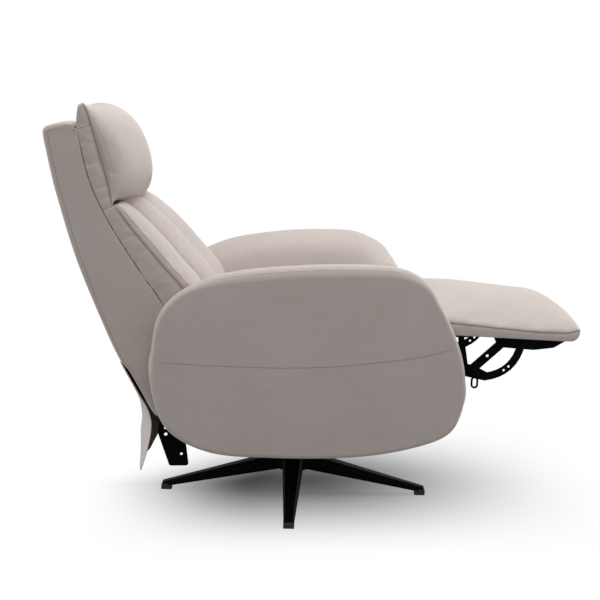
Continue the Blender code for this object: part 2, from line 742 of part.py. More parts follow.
def wire(name, points, radius, mat, parent, resolution=1):
    """A bent wire or rod through the points, as a filled curve."""
    curve = bpy.data.curves.new(name, "CURVE")
    curve.dimensions = "3D"
    curve.bevel_depth = radius
    curve.bevel_resolution = resolution
    curve.use_fill_caps = True
    line = curve.splines.new("POLY")
    line.points.add(len(points) - 1)
    for point, place in zip(line.points, points):
        point.co = (*place, 1.0)
    curve.materials.append(mat)
    obj = bpy.data.objects.new(name, curve)
    bpy.context.scene.collection.objects.link(obj)
    obj.parent = bpy.data.objects[parent]
    obj.location = -PIVOTS[parent]
    return obj


spring_start = SEAT_REAR_RAIL_X
spring_end = SEAT_FRONT_RAIL_X
for number in range(SPRING_COUNT):
    middle = (number - (SPRING_COUNT - 1) / 2) * SPRING_SPACING
    points = []
    steps = SPRING_BENDS * 4
    for k in range(steps + 1):
        share = k / steps
        swing = SPRING_SWING * math.sin(math.pi * SPRING_BENDS * share)
        points.append((spring_start + (spring_end - spring_start) * share, middle + swing, SPRING_Z))
    wire(f"seat_spring_{number + 1}", points, SPRING_WIRE, STEEL, "swivel_axis", 0)


def pillow_section(foot, front, crown, half, dip, centre_y=0.0, columns=14):
    """One cut through a boxed cushion: flat rear, drawn-in sides, crowned front with sewn channels."""
    foot = Vector(foot)
    ahead = Vector(front) - foot
    depth = ahead.length
    ahead.normalize()
    section = []
    for k in range(columns + 1):
        share = 2 * k / columns - 1
        bulge = crown * (1 - abs(share) ** 3.2) ** 0.75
        for number in range(1, BACK_PANELS):
            channel = (2 * number / BACK_PANELS - 1) * half
            bulge -= dip * math.exp(-(((share * half - channel) / 0.018) ** 2))
        point = foot + ahead * (depth + max(bulge, 0))
        section.append((point.x, centre_y + share * half, point.y))
    for share in (0.66, 0.33):
        point = foot + ahead * depth * share
        section.append((point.x, centre_y + half - 0.004, point.y))
    for share in (1, 0.33, -0.33, -1):
        section.append((foot.x, centre_y + share * (half - 0.002), foot.y))
    for share in (0.33, 0.66):
        point = foot + ahead * depth * share
        section.append((point.x, centre_y - half + 0.004, point.y))
    return section


# Seat cushion: a boxed cushion, crowned, with a rolled front edge.
sections = []
for share in (0.0, 0.02, 0.07, 0.16, 0.30, 0.46, 0.62, 0.78, 0.90, 0.96, 0.99, 1.0):
    x = SEAT_REAR_X + (SEAT_FRONT_X - SEAT_REAR_X) * share
    end = min(share, 1 - share) / 0.12
    fade = 1.0 if end >= 1 else math.sqrt(1 - (1 - end) ** 2)
    lift = SEAT_BOTTOM_Z + (0.014 * (1 - fade) if share > 0.5 else 0.006 * (1 - fade))
    height = SEAT_SIDE_HEIGHT * (0.55 + 0.45 * fade)
    half = SEAT_HALF * (0.965 + 0.035 * fade)
    sections.append(pillow_section((x, lift), (x, lift + height), SEAT_CROWN * (0.35 + 0.65 * fade), half, 0))
piece("seat_cushion", loft(bmesh.new(), sections), LEATHER, "swivel_axis", 60)

# Back: the rear line and the crease where shell and cushion meet, both seen from the side.
REAR_LINE = spline(
    ((-0.357, 0.262), (-0.375, 0.276), (-0.407, 0.318), (-0.475, 0.463), (-0.544, 0.634), (-0.594, 0.802),
     (-0.6205, SHELL_TOP_Z - 0.012)), 3)
TOP_LINE = ((-0.614, SHELL_TOP_Z - 0.003), (-0.604, SHELL_TOP_Z), (-0.556, SHELL_TOP_Z),
            (-0.547, SHELL_TOP_Z - 0.003))
CREASE_LINE = spline(
    ((-0.541, SHELL_TOP_Z - 0.012), (-0.514, 0.819), (-0.466, 0.718), (-0.397, 0.609), (-0.345, 0.534),
     (-0.290, 0.440), (-0.262, 0.370)), 3)
shell_outline = list(REAR_LINE) + list(TOP_LINE) + list(CREASE_LINE)
shell_normals = outward(shell_outline)
rounded = len(REAR_LINE) + len(TOP_LINE)
sections = []
for share in (-1, -0.985, -0.955, -0.90, -0.5, 0, 0.5, 0.90, 0.955, 0.985, 1):
    edge = BACK_HALF * (1 - abs(share))
    inward = 0.0
    if edge < SHELL_EDGE_RADIUS:
        inward = SHELL_EDGE_RADIUS - math.sqrt(SHELL_EDGE_RADIUS ** 2 - (SHELL_EDGE_RADIUS - edge) ** 2)
    section = []
    for i, ((x, z), normal) in enumerate(zip(shell_outline, shell_normals)):
        ease = inward if 1 < i < len(REAR_LINE) else 0.4 * inward if 1 < i < rounded else 0.0
        section.append((x - normal.x * ease, BACK_HALF * share, z - normal.y * ease))
    sections.append(section)
shell = piece("back_shell", loft(bmesh.new(), sections), LEATHER, "recline_axis", 60)
cavity = []
for x, z in REAR_LINE:
    cavity.append((x + (SHELL_WALL if z > SHELL_HEM_Z else SHELL_HEM), z))
cavity[0] = (cavity[0][0], cavity[0][1] - 0.10)
cavity[-1] = (cavity[-1][0], SHELL_TOP_Z - SHELL_WALL)
cavity += [(CREASE_LINE[0][0] + 0.08, SHELL_TOP_Z - SHELL_WALL), (CREASE_LINE[-1][0] + 0.12, 0.50)]
cavity += [(CREASE_LINE[-1][0] + 0.12, 0.16)]
combine(
    shell, "DIFFERENCE", extrude(bmesh.new(), cavity, -(BACK_HALF - SHELL_WALL), BACK_HALF - SHELL_WALL)
)

# Back frame: a curved upright each side inside the shell, and two rails between them.
upright_inner = layer(1)[1] + CLEARANCE
upright_outer = BACK_HALF - SHELL_WALL - CLEARANCE


def upright_x(z):
    return (at_height(REAR_LINE, z) + SHELL_WALL + at_height(CREASE_LINE, z)) / 2


upright_path = []
for k in range(9):
    z = UPRIGHT_FOOT_Z + (UPRIGHT_TOP_Z - UPRIGHT_FOOT_Z) * k / 8
    upright_path.append((upright_x(z), z))
for side, word in SIDES:
    bar = extrude(
        bmesh.new(), strap(upright_path, UPRIGHT_DEPTH / 2, 3),
        *across(side, upright_inner, upright_outer),
    )
    piece(f"back_upright_{word}", bar, BLACK, "recline_axis")
for z, word in ((BACK_TOP_RAIL_Z, "top"), (BACK_LUMBAR_RAIL_Z, "lumbar")):
    reach = upright_inner - CLEARANCE
    rail = box_tube(bmesh.new(), "Y", -reach, reach, (upright_x(z), z), BACK_RAIL_SIZE, TUBE_WALL)
    piece(f"back_{word}_rail", rail, BLACK, "recline_axis")

# Lever plates: carry the back on its pivots and reach down behind the seat to the drive.
for side, word in SIDES:
    inner, outer = layer(1)
    x, z = BACK_PIVOT
    outline = filleted([
        (x + EYE_RADIUS, z + EYE_RADIUS, EYE_RADIUS), (x + EYE_RADIUS, z - EYE_RADIUS, EYE_RADIUS),
        (LEVER_TUBE[0] + 0.022, LEVER_TUBE[1] - 0.010, 0.030), (-0.276, 0.122, 0.006), (-0.323, 0.122, 0.006),
        (-0.350, 0.200, 0.012), (-0.348, 0.262, 0.030), (-0.386, 0.440, 0.012), (-0.350, 0.455, 0.012),
    ])
    lever = piece(
        f"back_lever_{word}", extrude(bmesh.new(), outline, *across(side, inner, outer)), BLACK, "recline_axis"
    )
    holes = bmesh.new()
    pin_hole(holes, side, x, z, 1)
    pin_hole(holes, side, -0.332, 0.216, 1, 0.0042)
    pin_hole(holes, side, -0.332, 0.200, 1, 0.0042)
    pin_hole(holes, side, -0.294, 0.151, 1, 0.0035)
    combine(lever, "DIFFERENCE", holes)
    bolts = bmesh.new()
    for bx, bz in ((-0.305, 0.184), (-0.300, 0.170), (-0.317, 0.136), (-0.290, 0.134)):
        drum(bolts, (bx, side * (inner + PLATE / 2), bz), (0, side, 0), PLATE / 2 + 0.0030, 0.0050, 6)
    combine(lever, "UNION", bolts)
reach = layer(1)[0] - CLEARANCE
piece(
    "lever_cross_tube",
    drum(bmesh.new(), (LEVER_TUBE[0], -reach, LEVER_TUBE[1]), (0, 1, 0), 2 * reach, LEVER_TUBE_RADIUS, 16),
    BLACK, "recline_axis",
)

# Back cushion: five padded panels with sewn channels between them, thicker at the small of the back.
half = BACK_HALF - CUSHION_SIDE_GAP
rise = Vector((math.cos(SECTION_RISE), math.sin(SECTION_RISE)))
sections = []
for k in range(15):
    share = k / 14
    z = CUSHION_FOOT_Z + (CUSHION_HEAD_Z - CUSHION_FOOT_Z) * share
    end = min(share / 0.30, 1.0)
    fade = math.sqrt(1 - (1 - end) ** 2)
    foot = Vector((at_height(CREASE_LINE, z), z)) + rise * CLEARANCE * 4
    gusset = 0.060 + (0.030 - 0.060) * max(share - 0.35, 0) / 0.65
    gusset *= 0.6 + 0.4 * fade
    front = foot + rise * gusset
    crown = 0.084 * (0.30 + 0.70 * fade) * (0.75 + 0.25 * min((1 - share) / 0.07, 1.0))
    sections.append(pillow_section(foot, front, crown, half, CHANNEL_DEPTH * fade, columns=20))
piece("back_cushion", loft(bmesh.new(), sections), LEATHER, "recline_axis", 60)

# Headrest: a full pillow on the head of the back, standing a little above the shell.
head_line = []
for share in (0, 0.23, 0.50, 0.70, 0.86, 1):
    z = CUSHION_HEAD_Z + (HEADREST_TOP_Z - CUSHION_HEAD_Z) * share
    head_line.append((at_height(CREASE_LINE, z) - HEADREST_LEAN * share ** 4, z))
head_line = spline(head_line, 3)
sections = []
for k, (x, z) in enumerate(head_line):
    share = k / (len(head_line) - 1)
    end = min(share / 0.07, (1 - share) / 0.30, 1.0)
    fade = math.sqrt(1 - (1 - end) ** 2)
    angle = SECTION_RISE * (1 - share) ** 0.7
    ahead = Vector((math.cos(angle), math.sin(angle)))
    lift = Vector((-math.sin(angle), math.cos(angle))) * (0.0008 if k == 0 else 0)
    foot = Vector((x, z)) + ahead * CLEARANCE * 4 + lift + Vector((0.003, 0.004)) * (1 - share) ** 4
    front = foot + ahead * (0.036 - 0.020 * share) * (0.7 + 0.3 * fade)
    crown = HEADREST_CROWN * at_height(HEADREST_SWELL, share)
    sections.append(pillow_section(foot, front, crown, half * (0.985 + 0.015 * fade), 0))
piece("headrest_cushion", loft(bmesh.new(), sections), LEATHER, "recline_axis", 60)

# Rear flap: a lined leather flap sewn to the shell, hanging behind the levers with curled edges.
flap_line = spline(
    ((at_height(REAR_LINE, FLAP_TOP_Z) - CLEARANCE, FLAP_TOP_Z),
     (at_height(REAR_LINE, FLAP_TOP_Z - 0.012) - 2 * CLEARANCE, FLAP_TOP_Z - 0.012),
     (-0.4000, 0.301), (-0.3785, 0.270), (-0.3700, 0.236), (-0.3695, 0.205),
     (-0.3755, 0.177), (-0.3870, 0.142), (-0.3940, FLAP_BOTTOM_Z)), 2)
sections = []
for x, z in flap_line:
    share = (FLAP_TOP_Z - z) / (FLAP_TOP_Z - FLAP_BOTTOM_Z)
    outer, inner = [], []
    for k in range(13):
        y = FLAP_HALF * (k / 6 - 1)
        edge = abs(y) / FLAP_HALF
        bend = x - FLAP_FOLD * share * (1 - edge ** 2) * (1 + math.cos(3 * math.pi * edge)) / 2
        outer.append((bend - FLAP_THICKNESS, y, z))
        inner.append((bend, y, z))
    sections.append(outer + inner[::-1])
piece("rear_flap", loft(bmesh.new(), sections), LINING, "recline_axis", 60)

# Lower links: stamped plates on the side plates' pins, each with the stop arm that the footrest rests on.
for side, word in SIDES:
    inner, outer = layer(1)
    outline = hull([(*FOOT_PIVOT, EYE_RADIUS), (*JOINT_J, LINK_HALF), (*JOINT_M, LINK_HALF)])
    link = piece(
        f"lower_link_{word}", extrude(bmesh.new(), outline, *across(side, inner, outer)), BLACK, "foot_axis"
    )
    rest_u = foot_local((STOP_TOP_X, BOARD_REAR[1]))[0]
    rest = foot_point(rest_u, -BRACKET_FLANGE - 2 * CLEARANCE - STOP_HALF)
    arm = extrude(
        bmesh.new(), strap([STOP_FOOT, tuple(rest)], STOP_HALF),
        *across(side, inner + 0.0002, outer - 0.0002),
    )
    combine(link, "UNION", arm)
    holes = bmesh.new()
    pin_hole(holes, side, *FOOT_PIVOT, 1)
    combine(link, "DIFFERENCE", holes)
    pins = bmesh.new()
    pin(pins, side, *JOINT_J, 1, 2)
    combine(link, "UNION", pins)
    loop_y = side * (outer + CLEARANCE + LOOP_WIRE)
    eye_z = JOINT_M[1] - LINK_HALF + 0.010
    points = [(LOOP_X - LOOP_HALF, loop_y, eye_z + 0.004)]
    for k in range(9):
        angle = math.pi * k / 8
        points.append((LOOP_X - LOOP_HALF * math.cos(angle), loop_y,
                       eye_z - LOOP_DROP + LOOP_HALF - LOOP_HALF * math.sin(angle)))
    points.append((LOOP_X + LOOP_HALF, loop_y, eye_z + 0.004))
    wire(f"link_loop_{word}", points, LOOP_WIRE, STEEL, "foot_axis", 1)

reach = layer(1)[0] - CLEARANCE
piece(
    "footrest_drive_tube",
    drum(bmesh.new(), (DRIVE_TUBE[0], -reach, DRIVE_TUBE[1]), (0, 1, 0), 2 * reach, DRIVE_TUBE_RADIUS, 14),
    BLACK, "foot_axis",
)

# Upper links: straight, from the lower link to the footrest bracket.
for side, word in SIDES:
    inner, outer = layer(2)
    outline = hull([(*JOINT_J, LINK_HALF), (*JOINT_K, LINK_HALF)])
    link = piece(
        f"upper_link_{word}", extrude(bmesh.new(), outline, *across(side, inner, outer)), BLACK,
        "upper_link_axis",
    )
    holes = bmesh.new()
    pin_hole(holes, side, *JOINT_J, 2)
    pin_hole(holes, side, (JOINT_J[0] + JOINT_K[0]) / 2, (JOINT_J[1] + JOINT_K[1]) / 2, 2, 0.0038)
    combine(link, "DIFFERENCE", holes)
    pins = bmesh.new()
    pin(pins, side, *JOINT_K, 2, 3)
    combine(link, "UNION", pins)

# Curved links: bowed down clear of the upper links, from the footrest bracket to the lower link.
for side, word in SIDES:
    inner, outer = layer(2)
    path = []
    for k in range(9):
        t = k / 8
        path.append(
            Vector(JOINT_M) * (1 - t) ** 2 + Vector(CURVED_BOW) * 2 * t * (1 - t) + Vector(JOINT_L) * t * t
        )
    link = piece(
        f"curved_link_{word}", extrude(bmesh.new(), strap(path, CURVED_HALF), *across(side, inner, outer)),
        BLACK, "curved_link_axis",
    )
    pins = bmesh.new()
    pin(pins, side, *JOINT_L, 2, 3)
    middle = (inner + outer) / 2
    turned(pins, (JOINT_M[0], side * middle, JOINT_M[1]), (0, side, 0),
           [(0, 0), (0, PIN_RADIUS), (PLATE / 2 + 0.0015, PIN_RADIUS), (PLATE / 2 + 0.0015, 0)], 12)
    combine(link, "UNION", pins)
    holes = bmesh.new()
    for t in (3, 4):
        pin_hole(holes, side, *path[t], 2, 0.0032)
    combine(link, "DIFFERENCE", holes)

# Footrest brackets: angles under the board with the eyes of the upper and curved links.
for side, word in SIDES:
    inner, outer = layer(3)
    ku, kw = foot_local(JOINT_K)
    lu, lw = foot_local(JOINT_L)
    eye = LINK_HALF + 0.001
    corners = [
        (BRACKET_REAR, -CLEARANCE, 0.002), (BRACKET_REAR, -0.011, 0.004), (BRACKET_REAR + 0.040, -0.010, 0.004),
        (BRACKET_REAR + 0.047, -BRACKET_FLANGE - 0.002, 0.004), (ku - 0.026, -BRACKET_FLANGE - 0.002, 0.004),
        (ku - 0.012, kw - eye, 0.010), (lu + 0.030, lw - eye, 0.020), (lu + 0.080, lw - eye + 0.008, 0.015),
        (BRACKET_FRONT, -0.006, 0.003), (BRACKET_FRONT, -CLEARANCE, 0.002),
    ]
    outline = [tuple(foot_point(u, w)) for u, w in filleted(corners)]
    bracket = piece(
        f"footrest_bracket_{word}", extrude(bmesh.new(), outline, *across(side, inner, outer)), BLACK,
        "footrest_axis",
    )
    strip = [
        tuple(foot_point(BRACKET_REAR + 0.001, -BRACKET_FLANGE)),
        tuple(foot_point(BRACKET_FRONT - 0.004, -BRACKET_FLANGE)),
        tuple(foot_point(BRACKET_FRONT - 0.004, -2 * CLEARANCE)),
        tuple(foot_point(BRACKET_REAR + 0.001, -2 * CLEARANCE)),
    ]
    combine(bracket, "UNION", extrude(bmesh.new(), strip, *across(side, inner - FLANGE_WIDTH, outer - PLATE / 2)))
    holes = bmesh.new()
    pin_hole(holes, side, *JOINT_K, 3)
    pin_hole(holes, side, *JOINT_L, 3)
    combine(bracket, "DIFFERENCE", holes)

# Footrest board and the pad upholstered over it.
board = [tuple(foot_point(u, w)) for u, w in
         ((0, 0), (BOARD_LENGTH, 0), (BOARD_LENGTH, BOARD_THICKNESS), (0, BOARD_THICKNESS))]
piece("footrest_board", extrude(bmesh.new(), board, -BOARD_HALF, BOARD_HALF), WOOD, "footrest_axis")
sections = []
pad_start = -PAD_REAR_LAP
pad_end = BOARD_LENGTH + PAD_FRONT_LAP
for share in (0.0, 0.015, 0.05, 0.12, 0.24, 0.38, 0.52, 0.66, 0.80, 0.90, 0.96, 0.99, 1.0):
    u = pad_start + (pad_end - pad_start) * share
    end = min(share / 0.14, (1 - share) / 0.16, 1.0)
    fade = math.sqrt(1 - (1 - end) ** 2)
    foot = foot_point(u, (0.004 if share < 0.5 else 0.016) * (1 - fade))
    front = foot_point(u, PAD_BAND * (0.75 + 0.25 * fade))
    half = PAD_HALF * (0.97 + 0.03 * fade)
    sections.append(pillow_section(foot, front, PAD_CROWN * (1.12 - 0.24 * share) * (0.12 + 0.88 * fade), half, 0))
pad = piece("footrest_pad", loft(bmesh.new(), sections), LEATHER, "footrest_axis", 60)
pocket = [
    tuple(foot_point(u, w)) for u, w in
    ((-CLEARANCE, -0.02), (BOARD_LENGTH + CLEARANCE, -0.02),
     (BOARD_LENGTH + CLEARANCE, BOARD_THICKNESS + CLEARANCE), (-CLEARANCE, BOARD_THICKNESS + CLEARANCE))
]
combine(pad, "DIFFERENCE", extrude(bmesh.new(), pocket, -BOARD_HALF - CLEARANCE, BOARD_HALF + CLEARANCE))

# Recline drive: a motor with its tube on the front cross tube, and a rod to the lever cross tube.
motor_pivot = Vector((FRONT_TUBE_X, MOTOR_PIVOT_Z))
pull = (Vector(LEVER_TUBE) - motor_pivot).normalized()
pull_length = (Vector(LEVER_TUBE) - motor_pivot).length
pivot("motor_axis", *motor_pivot, "swivel_axis")


def on_pull(distance, offset=0.0):
    return motor_pivot + pull * distance + Vector((-pull.y, pull.x)) * offset


def in_3d(place, y):
    return (place.x, y, place.y)


tube_start = 0.110
tube_length = 0.180
motor = piece(
    "recline_motor",
    turned(
        bmesh.new(), in_3d(on_pull(tube_start), DRIVE_Y), in_3d(pull, 0),
        [(-0.020, 0), (-0.020, DRIVE_TUBE_OUTER), (tube_length, DRIVE_TUBE_OUTER),
         (tube_length, DRIVE_ROD_RADIUS + BORE_PLAY), (0.012, DRIVE_ROD_RADIUS + BORE_PLAY), (0.012, 0)],
        16,
    ),
    PLASTIC, "motor_axis",
)
case = extrude(
    bmesh.new(),
    filleted([(*on_pull(0.024, -0.030), 0.008), (*on_pull(0.118, -0.030), 0.008),
              (*on_pull(0.118, 0.022), 0.008), (*on_pull(0.024, 0.022), 0.008)]),
    DRIVE_Y - 0.024, DRIVE_Y + 0.024,
)
combine(motor, "UNION", case)
gap = LUG_SPREAD / 2 - LUG / 2 - LAYER_GAP
eye = extrude(
    bmesh.new(), strap([tuple(motor_pivot), tuple(on_pull(0.030))], 0.009), DRIVE_Y - gap, DRIVE_Y + gap
)
combine(motor, "UNION", eye)
hole = drum(bmesh.new(), (motor_pivot.x, DRIVE_Y - 0.02, motor_pivot.y), (0, 1, 0), 0.04,
            PIN_RADIUS + PIN_PLAY, 14)
combine(motor, "DIFFERENCE", hole)

rod_start = tube_start + 0.012 + 0.060
ring = LEVER_TUBE_RADIUS + DRIVE_ROD_PLAY
rod = piece(
    "recline_rod",
    drum(bmesh.new(), in_3d(on_pull(rod_start), DRIVE_Y), in_3d(pull, 0), pull_length - ring - 0.003 - rod_start,
         DRIVE_ROD_RADIUS, 14),
    STEEL, "motor_axis",
)
combine(rod, "UNION", drum(bmesh.new(), (LEVER_TUBE[0], DRIVE_Y - 0.006, LEVER_TUBE[1]), (0, 1, 0), 0.012,
                           ring + 0.006, 20))
combine(rod, "DIFFERENCE", drum(bmesh.new(), (LEVER_TUBE[0], DRIVE_Y - 0.01, LEVER_TUBE[1]), (0, 1, 0), 0.02,
                                ring, 20))

# Footrest drive: fixed on the rear cross tube, its rod ends in a slotted yoke round the drive tube.
DRIVE_SLOPE = math.radians(10.9)
thrust = Vector((math.cos(DRIVE_SLOPE), math.sin(DRIVE_SLOPE)))
cross = Vector((-thrust.y, thrust.x))
drive_foot = Vector((REAR_TUBE_X, MOTOR_PIVOT_Z))
drive_reach = (Vector(DRIVE_TUBE) - drive_foot).dot(thrust)
YOKE_LOW = -0.0200
YOKE_HIGH = 0.0090
tube_start = 0.090
tube_length = 0.200


def on_thrust(distance, offset=0.0):
    return drive_foot + thrust * distance + cross * offset


drive = piece(
    "footrest_motor",
    turned(
        bmesh.new(), in_3d(on_thrust(tube_start), -DRIVE_Y), in_3d(thrust, 0),
        [(-0.020, 0), (-0.020, DRIVE_TUBE_OUTER), (tube_length, DRIVE_TUBE_OUTER),
         (tube_length, DRIVE_ROD_RADIUS + BORE_PLAY), (0.012, DRIVE_ROD_RADIUS + BORE_PLAY), (0.012, 0)],
        16,
    ),
    PLASTIC, "swivel_axis",
)
case = extrude(
    bmesh.new(),
    filleted([(*on_thrust(0.020, -0.022), 0.008), (*on_thrust(0.098, -0.022), 0.008),
              (*on_thrust(0.098, 0.030), 0.008), (*on_thrust(0.020, 0.030), 0.008)]),
    -DRIVE_Y - 0.024, -DRIVE_Y + 0.024,
)
combine(drive, "UNION", case)
shoe = extrude(
    bmesh.new(),
    [(REAR_TUBE_X - CROSS_TUBE_SIZE / 2, TUBE_TOP_Z + CLEARANCE),
     (REAR_TUBE_X + CROSS_TUBE_SIZE / 2, TUBE_TOP_Z + CLEARANCE),
     (*on_thrust(0.034, -0.010),), (*on_thrust(0.030, 0.010),), (REAR_TUBE_X - 0.004, MOTOR_PIVOT_Z + 0.004)],
    -DRIVE_Y - 0.010, -DRIVE_Y + 0.010,
)
combine(drive, "UNION", shoe)
rod_start = tube_start + 0.012 + 0.095
yoke_half = DRIVE_TUBE_RADIUS + YOKE_PLAY
pivot("thrust_axis", *on_thrust(0), "swivel_axis")
rod = piece(
    "footrest_rod",
    drum(bmesh.new(), in_3d(on_thrust(rod_start), -DRIVE_Y), in_3d(thrust, 0),
         drive_reach - yoke_half - 0.003 - rod_start, DRIVE_ROD_RADIUS, 14),
    STEEL, "thrust_axis",
)
yoke = strap([tuple(on_thrust(drive_reach, YOKE_LOW)), tuple(on_thrust(drive_reach, YOKE_HIGH))], yoke_half + 0.005)
combine(rod, "UNION", extrude(bmesh.new(), yoke, -DRIVE_Y - 0.006, -DRIVE_Y + 0.006))
yoke = strap([tuple(on_thrust(drive_reach, YOKE_LOW)), tuple(on_thrust(drive_reach, YOKE_HIGH))], yoke_half)
combine(rod, "DIFFERENCE", extrude(bmesh.new(), yoke, -DRIVE_Y - 0.012, -DRIVE_Y + 0.012))

# Control box on the swivel plate, with the socket for the supply lead.
box_z = RAIL_BOTTOM_Z
control = piece(
    "control_box",
    extrude(
        bmesh.new(),
        filleted([(-0.060, -0.045, 0.008), (0.060, -0.045, 0.008), (0.060, 0.045, 0.008), (-0.060, 0.045, 0.008)]),
        box_z, box_z + 0.028, "XY",
    ),
    PLASTIC, "swivel_axis",
)
socket = drum(bmesh.new(), (-0.070, 0, box_z + 0.014), (1, 0, 0), 0.022, 0.006, 14)
combine(control, "DIFFERENCE", socket)

# Switch: a bezel on the right arm's inner face with two push buttons.
face = ARM_INNER_Y - CLEARANCE
bezel = piece(
    "switch_bezel",
    extrude(
        bmesh.new(),
        filleted([(SWITCH_X - SWITCH_LENGTH / 2, SWITCH_Z - SWITCH_HEIGHT / 2, 0.010),
                  (SWITCH_X + SWITCH_LENGTH / 2, SWITCH_Z - SWITCH_HEIGHT / 2, 0.010),
                  (SWITCH_X + SWITCH_LENGTH / 2, SWITCH_Z + SWITCH_HEIGHT / 2, 0.010),
                  (SWITCH_X - SWITCH_LENGTH / 2, SWITCH_Z + SWITCH_HEIGHT / 2, 0.010)]),
        -face, -face + SWITCH_THICKNESS,
    ),
    PLASTIC, "swivel_axis",
)
holes = bmesh.new()
for sign in (-1, 1):
    drum(holes, (SWITCH_X + sign * BUTTON_PITCH / 2, -face - 0.002, SWITCH_Z), (0, 1, 0),
         SWITCH_THICKNESS + 0.004, BUTTON_RADIUS + CLEARANCE, 20)
combine(bezel, "DIFFERENCE", holes)
for sign, word in ((-1, "recline"), (1, "footrest")):
    x = SWITCH_X + sign * BUTTON_PITCH / 2
    top = -face + SWITCH_THICKNESS + BUTTON_STAND
    pivot(f"{word}_button_axis", x, SWITCH_Z, "swivel_axis")
    button = turned(
        bmesh.new(), (x, top - BUTTON_DEPTH, SWITCH_Z), (0, 1, 0),
        [(0, 0), (0, BUTTON_RADIUS), (BUTTON_DEPTH - 0.0008, BUTTON_RADIUS), (BUTTON_DEPTH, BUTTON_RADIUS - 0.001),
         (BUTTON_DEPTH, 0)],
        20,
    )
    piece(f"{word}_button", button, STEEL, f"{word}_button_axis")
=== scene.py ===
"""Looks of a swivel recliner armchair: leather, stitching, painted steel, floor and studio light.

Metres, +Z up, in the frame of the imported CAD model. The soft pieces are measured from the swivel
axis at floor level, as in the model's own source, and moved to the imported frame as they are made.
"""

import math

import bmesh
import bpy
import numpy as np
from mathutils import Matrix, Vector
from mathutils.bvhtree import BVHTree
from mathutils.kdtree import KDTree


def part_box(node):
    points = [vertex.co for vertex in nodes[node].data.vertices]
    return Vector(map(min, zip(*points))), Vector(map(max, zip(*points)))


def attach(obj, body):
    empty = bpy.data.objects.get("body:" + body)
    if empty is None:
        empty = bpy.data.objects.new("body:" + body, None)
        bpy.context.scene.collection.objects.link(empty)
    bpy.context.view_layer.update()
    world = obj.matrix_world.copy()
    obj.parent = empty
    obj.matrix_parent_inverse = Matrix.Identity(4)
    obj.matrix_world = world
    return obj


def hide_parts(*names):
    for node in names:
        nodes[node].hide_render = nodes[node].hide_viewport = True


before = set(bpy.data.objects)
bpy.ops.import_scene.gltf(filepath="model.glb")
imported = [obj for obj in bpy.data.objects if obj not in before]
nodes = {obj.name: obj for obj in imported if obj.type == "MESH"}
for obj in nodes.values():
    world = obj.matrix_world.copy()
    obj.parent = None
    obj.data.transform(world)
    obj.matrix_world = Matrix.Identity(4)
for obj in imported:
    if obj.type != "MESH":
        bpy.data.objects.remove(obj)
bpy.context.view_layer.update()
spindle_low, spindle_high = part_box("spindle")
swivel_x = (spindle_low[0] + spindle_high[0]) / 2

# Camera: it stands at the chair's right side, a little above the arms and towards the back, and
# is turned a degree about its own line of sight.
CAMERA_PLACE = Vector((-0.4705, -4.164, 1.156))
CAMERA_AIM = Vector((-0.0152, 0.0, 0.497))
CAMERA_ROLL = math.radians(1.0)
CAMERA_LENS = 100.74

lens = bpy.data.cameras.new("camera")
lens.lens = CAMERA_LENS
lens.sensor_width = 36.0
camera = bpy.data.objects.new("camera", lens)
bpy.context.scene.collection.objects.link(camera)
backward = (CAMERA_PLACE - CAMERA_AIM).normalized()
level = Vector((0, 0, 1)).cross(backward).normalized()
upright = backward.cross(level)
turned_right = level * math.cos(CAMERA_ROLL) + upright * math.sin(CAMERA_ROLL)
turned_up = upright * math.cos(CAMERA_ROLL) - level * math.sin(CAMERA_ROLL)
turn = Matrix((turned_right, turned_up, backward)).transposed()
camera.matrix_world = Matrix.Translation(CAMERA_PLACE) @ turn.to_4x4()
bpy.context.scene.camera = camera
bpy.context.scene.view_settings.view_transform = "Standard"


# Studio: a seamless white floor that takes the chair's soft shadow, a large box of light overhead,
# one beyond the footrest, a weak low one behind the back, and an even white surround.
class Shade:
    """A value in a material's node tree. Arithmetic on it adds Math nodes."""

    def __init__(self, tree, socket=None):
        self.tree = tree
        self.socket = socket

    def node(self, kind, settings=None, inputs=None, output=0):
        made = self.tree.nodes.new(kind)
        for name, value in (settings or {}).items():
            setattr(made, name, value)
        for name, value in (inputs or {}).items():
            if isinstance(value, Shade):
                self.tree.links.new(value.socket, made.inputs[name])
            else:
                made.inputs[name].default_value = value
        return Shade(self.tree, made.outputs[output])

    def maths(self, operation, first, second):
        return self.node("ShaderNodeMath", {"operation": operation}, {0: first, 1: second})

    def __add__(self, other):
        return self.maths("ADD", self, other)

    def __radd__(self, other):
        return self.maths("ADD", other, self)

    def __sub__(self, other):
        return self.maths("SUBTRACT", self, other)

    def __rsub__(self, other):
        return self.maths("SUBTRACT", other, self)

    def __mul__(self, other):
        return self.maths("MULTIPLY", self, other)

    def __rmul__(self, other):
        return self.maths("MULTIPLY", other, self)

    def mixed(self, first, second):
        """A colour from first to second, as this value goes from 0 to 1."""
        return self.node("ShaderNodeMix", {"data_type": "RGBA"}, {0: self, 6: first, 7: second}, 2)

    def ramped(self, low, high):
        """0 below low and 1 above high, smooth between."""
        return self.node(
            "ShaderNodeMapRange", {"interpolation_type": "SMOOTHSTEP"},
            {"Value": self, "From Min": low, "From Max": high},
        )

    def noise(self, scale, detail):
        """Cloudy noise over these coordinates."""
        return self.node("ShaderNodeTexNoise", inputs={"Vector": self, "Scale": scale, "Detail": detail})

    def bumped(self, strength, distance):
        """The surface's direction, raised and sunk by this value."""
        sockets = {"Strength": strength, "Distance": distance, "Height": self}
        return self.node("ShaderNodeBump", inputs=sockets)


def blank_finish(name):
    """A new material, its shader, and the coordinates on the piece that its textures start from."""
    made = bpy.data.materials.new(name)
    made.use_nodes = True
    place = Shade(made.node_tree).node("ShaderNodeTexCoord", output="Object")
    return made, made.node_tree.nodes["Principled BSDF"], place


def feed(shader, socket, value):
    shader.id_data.links.new(value.socket, shader.inputs[socket])


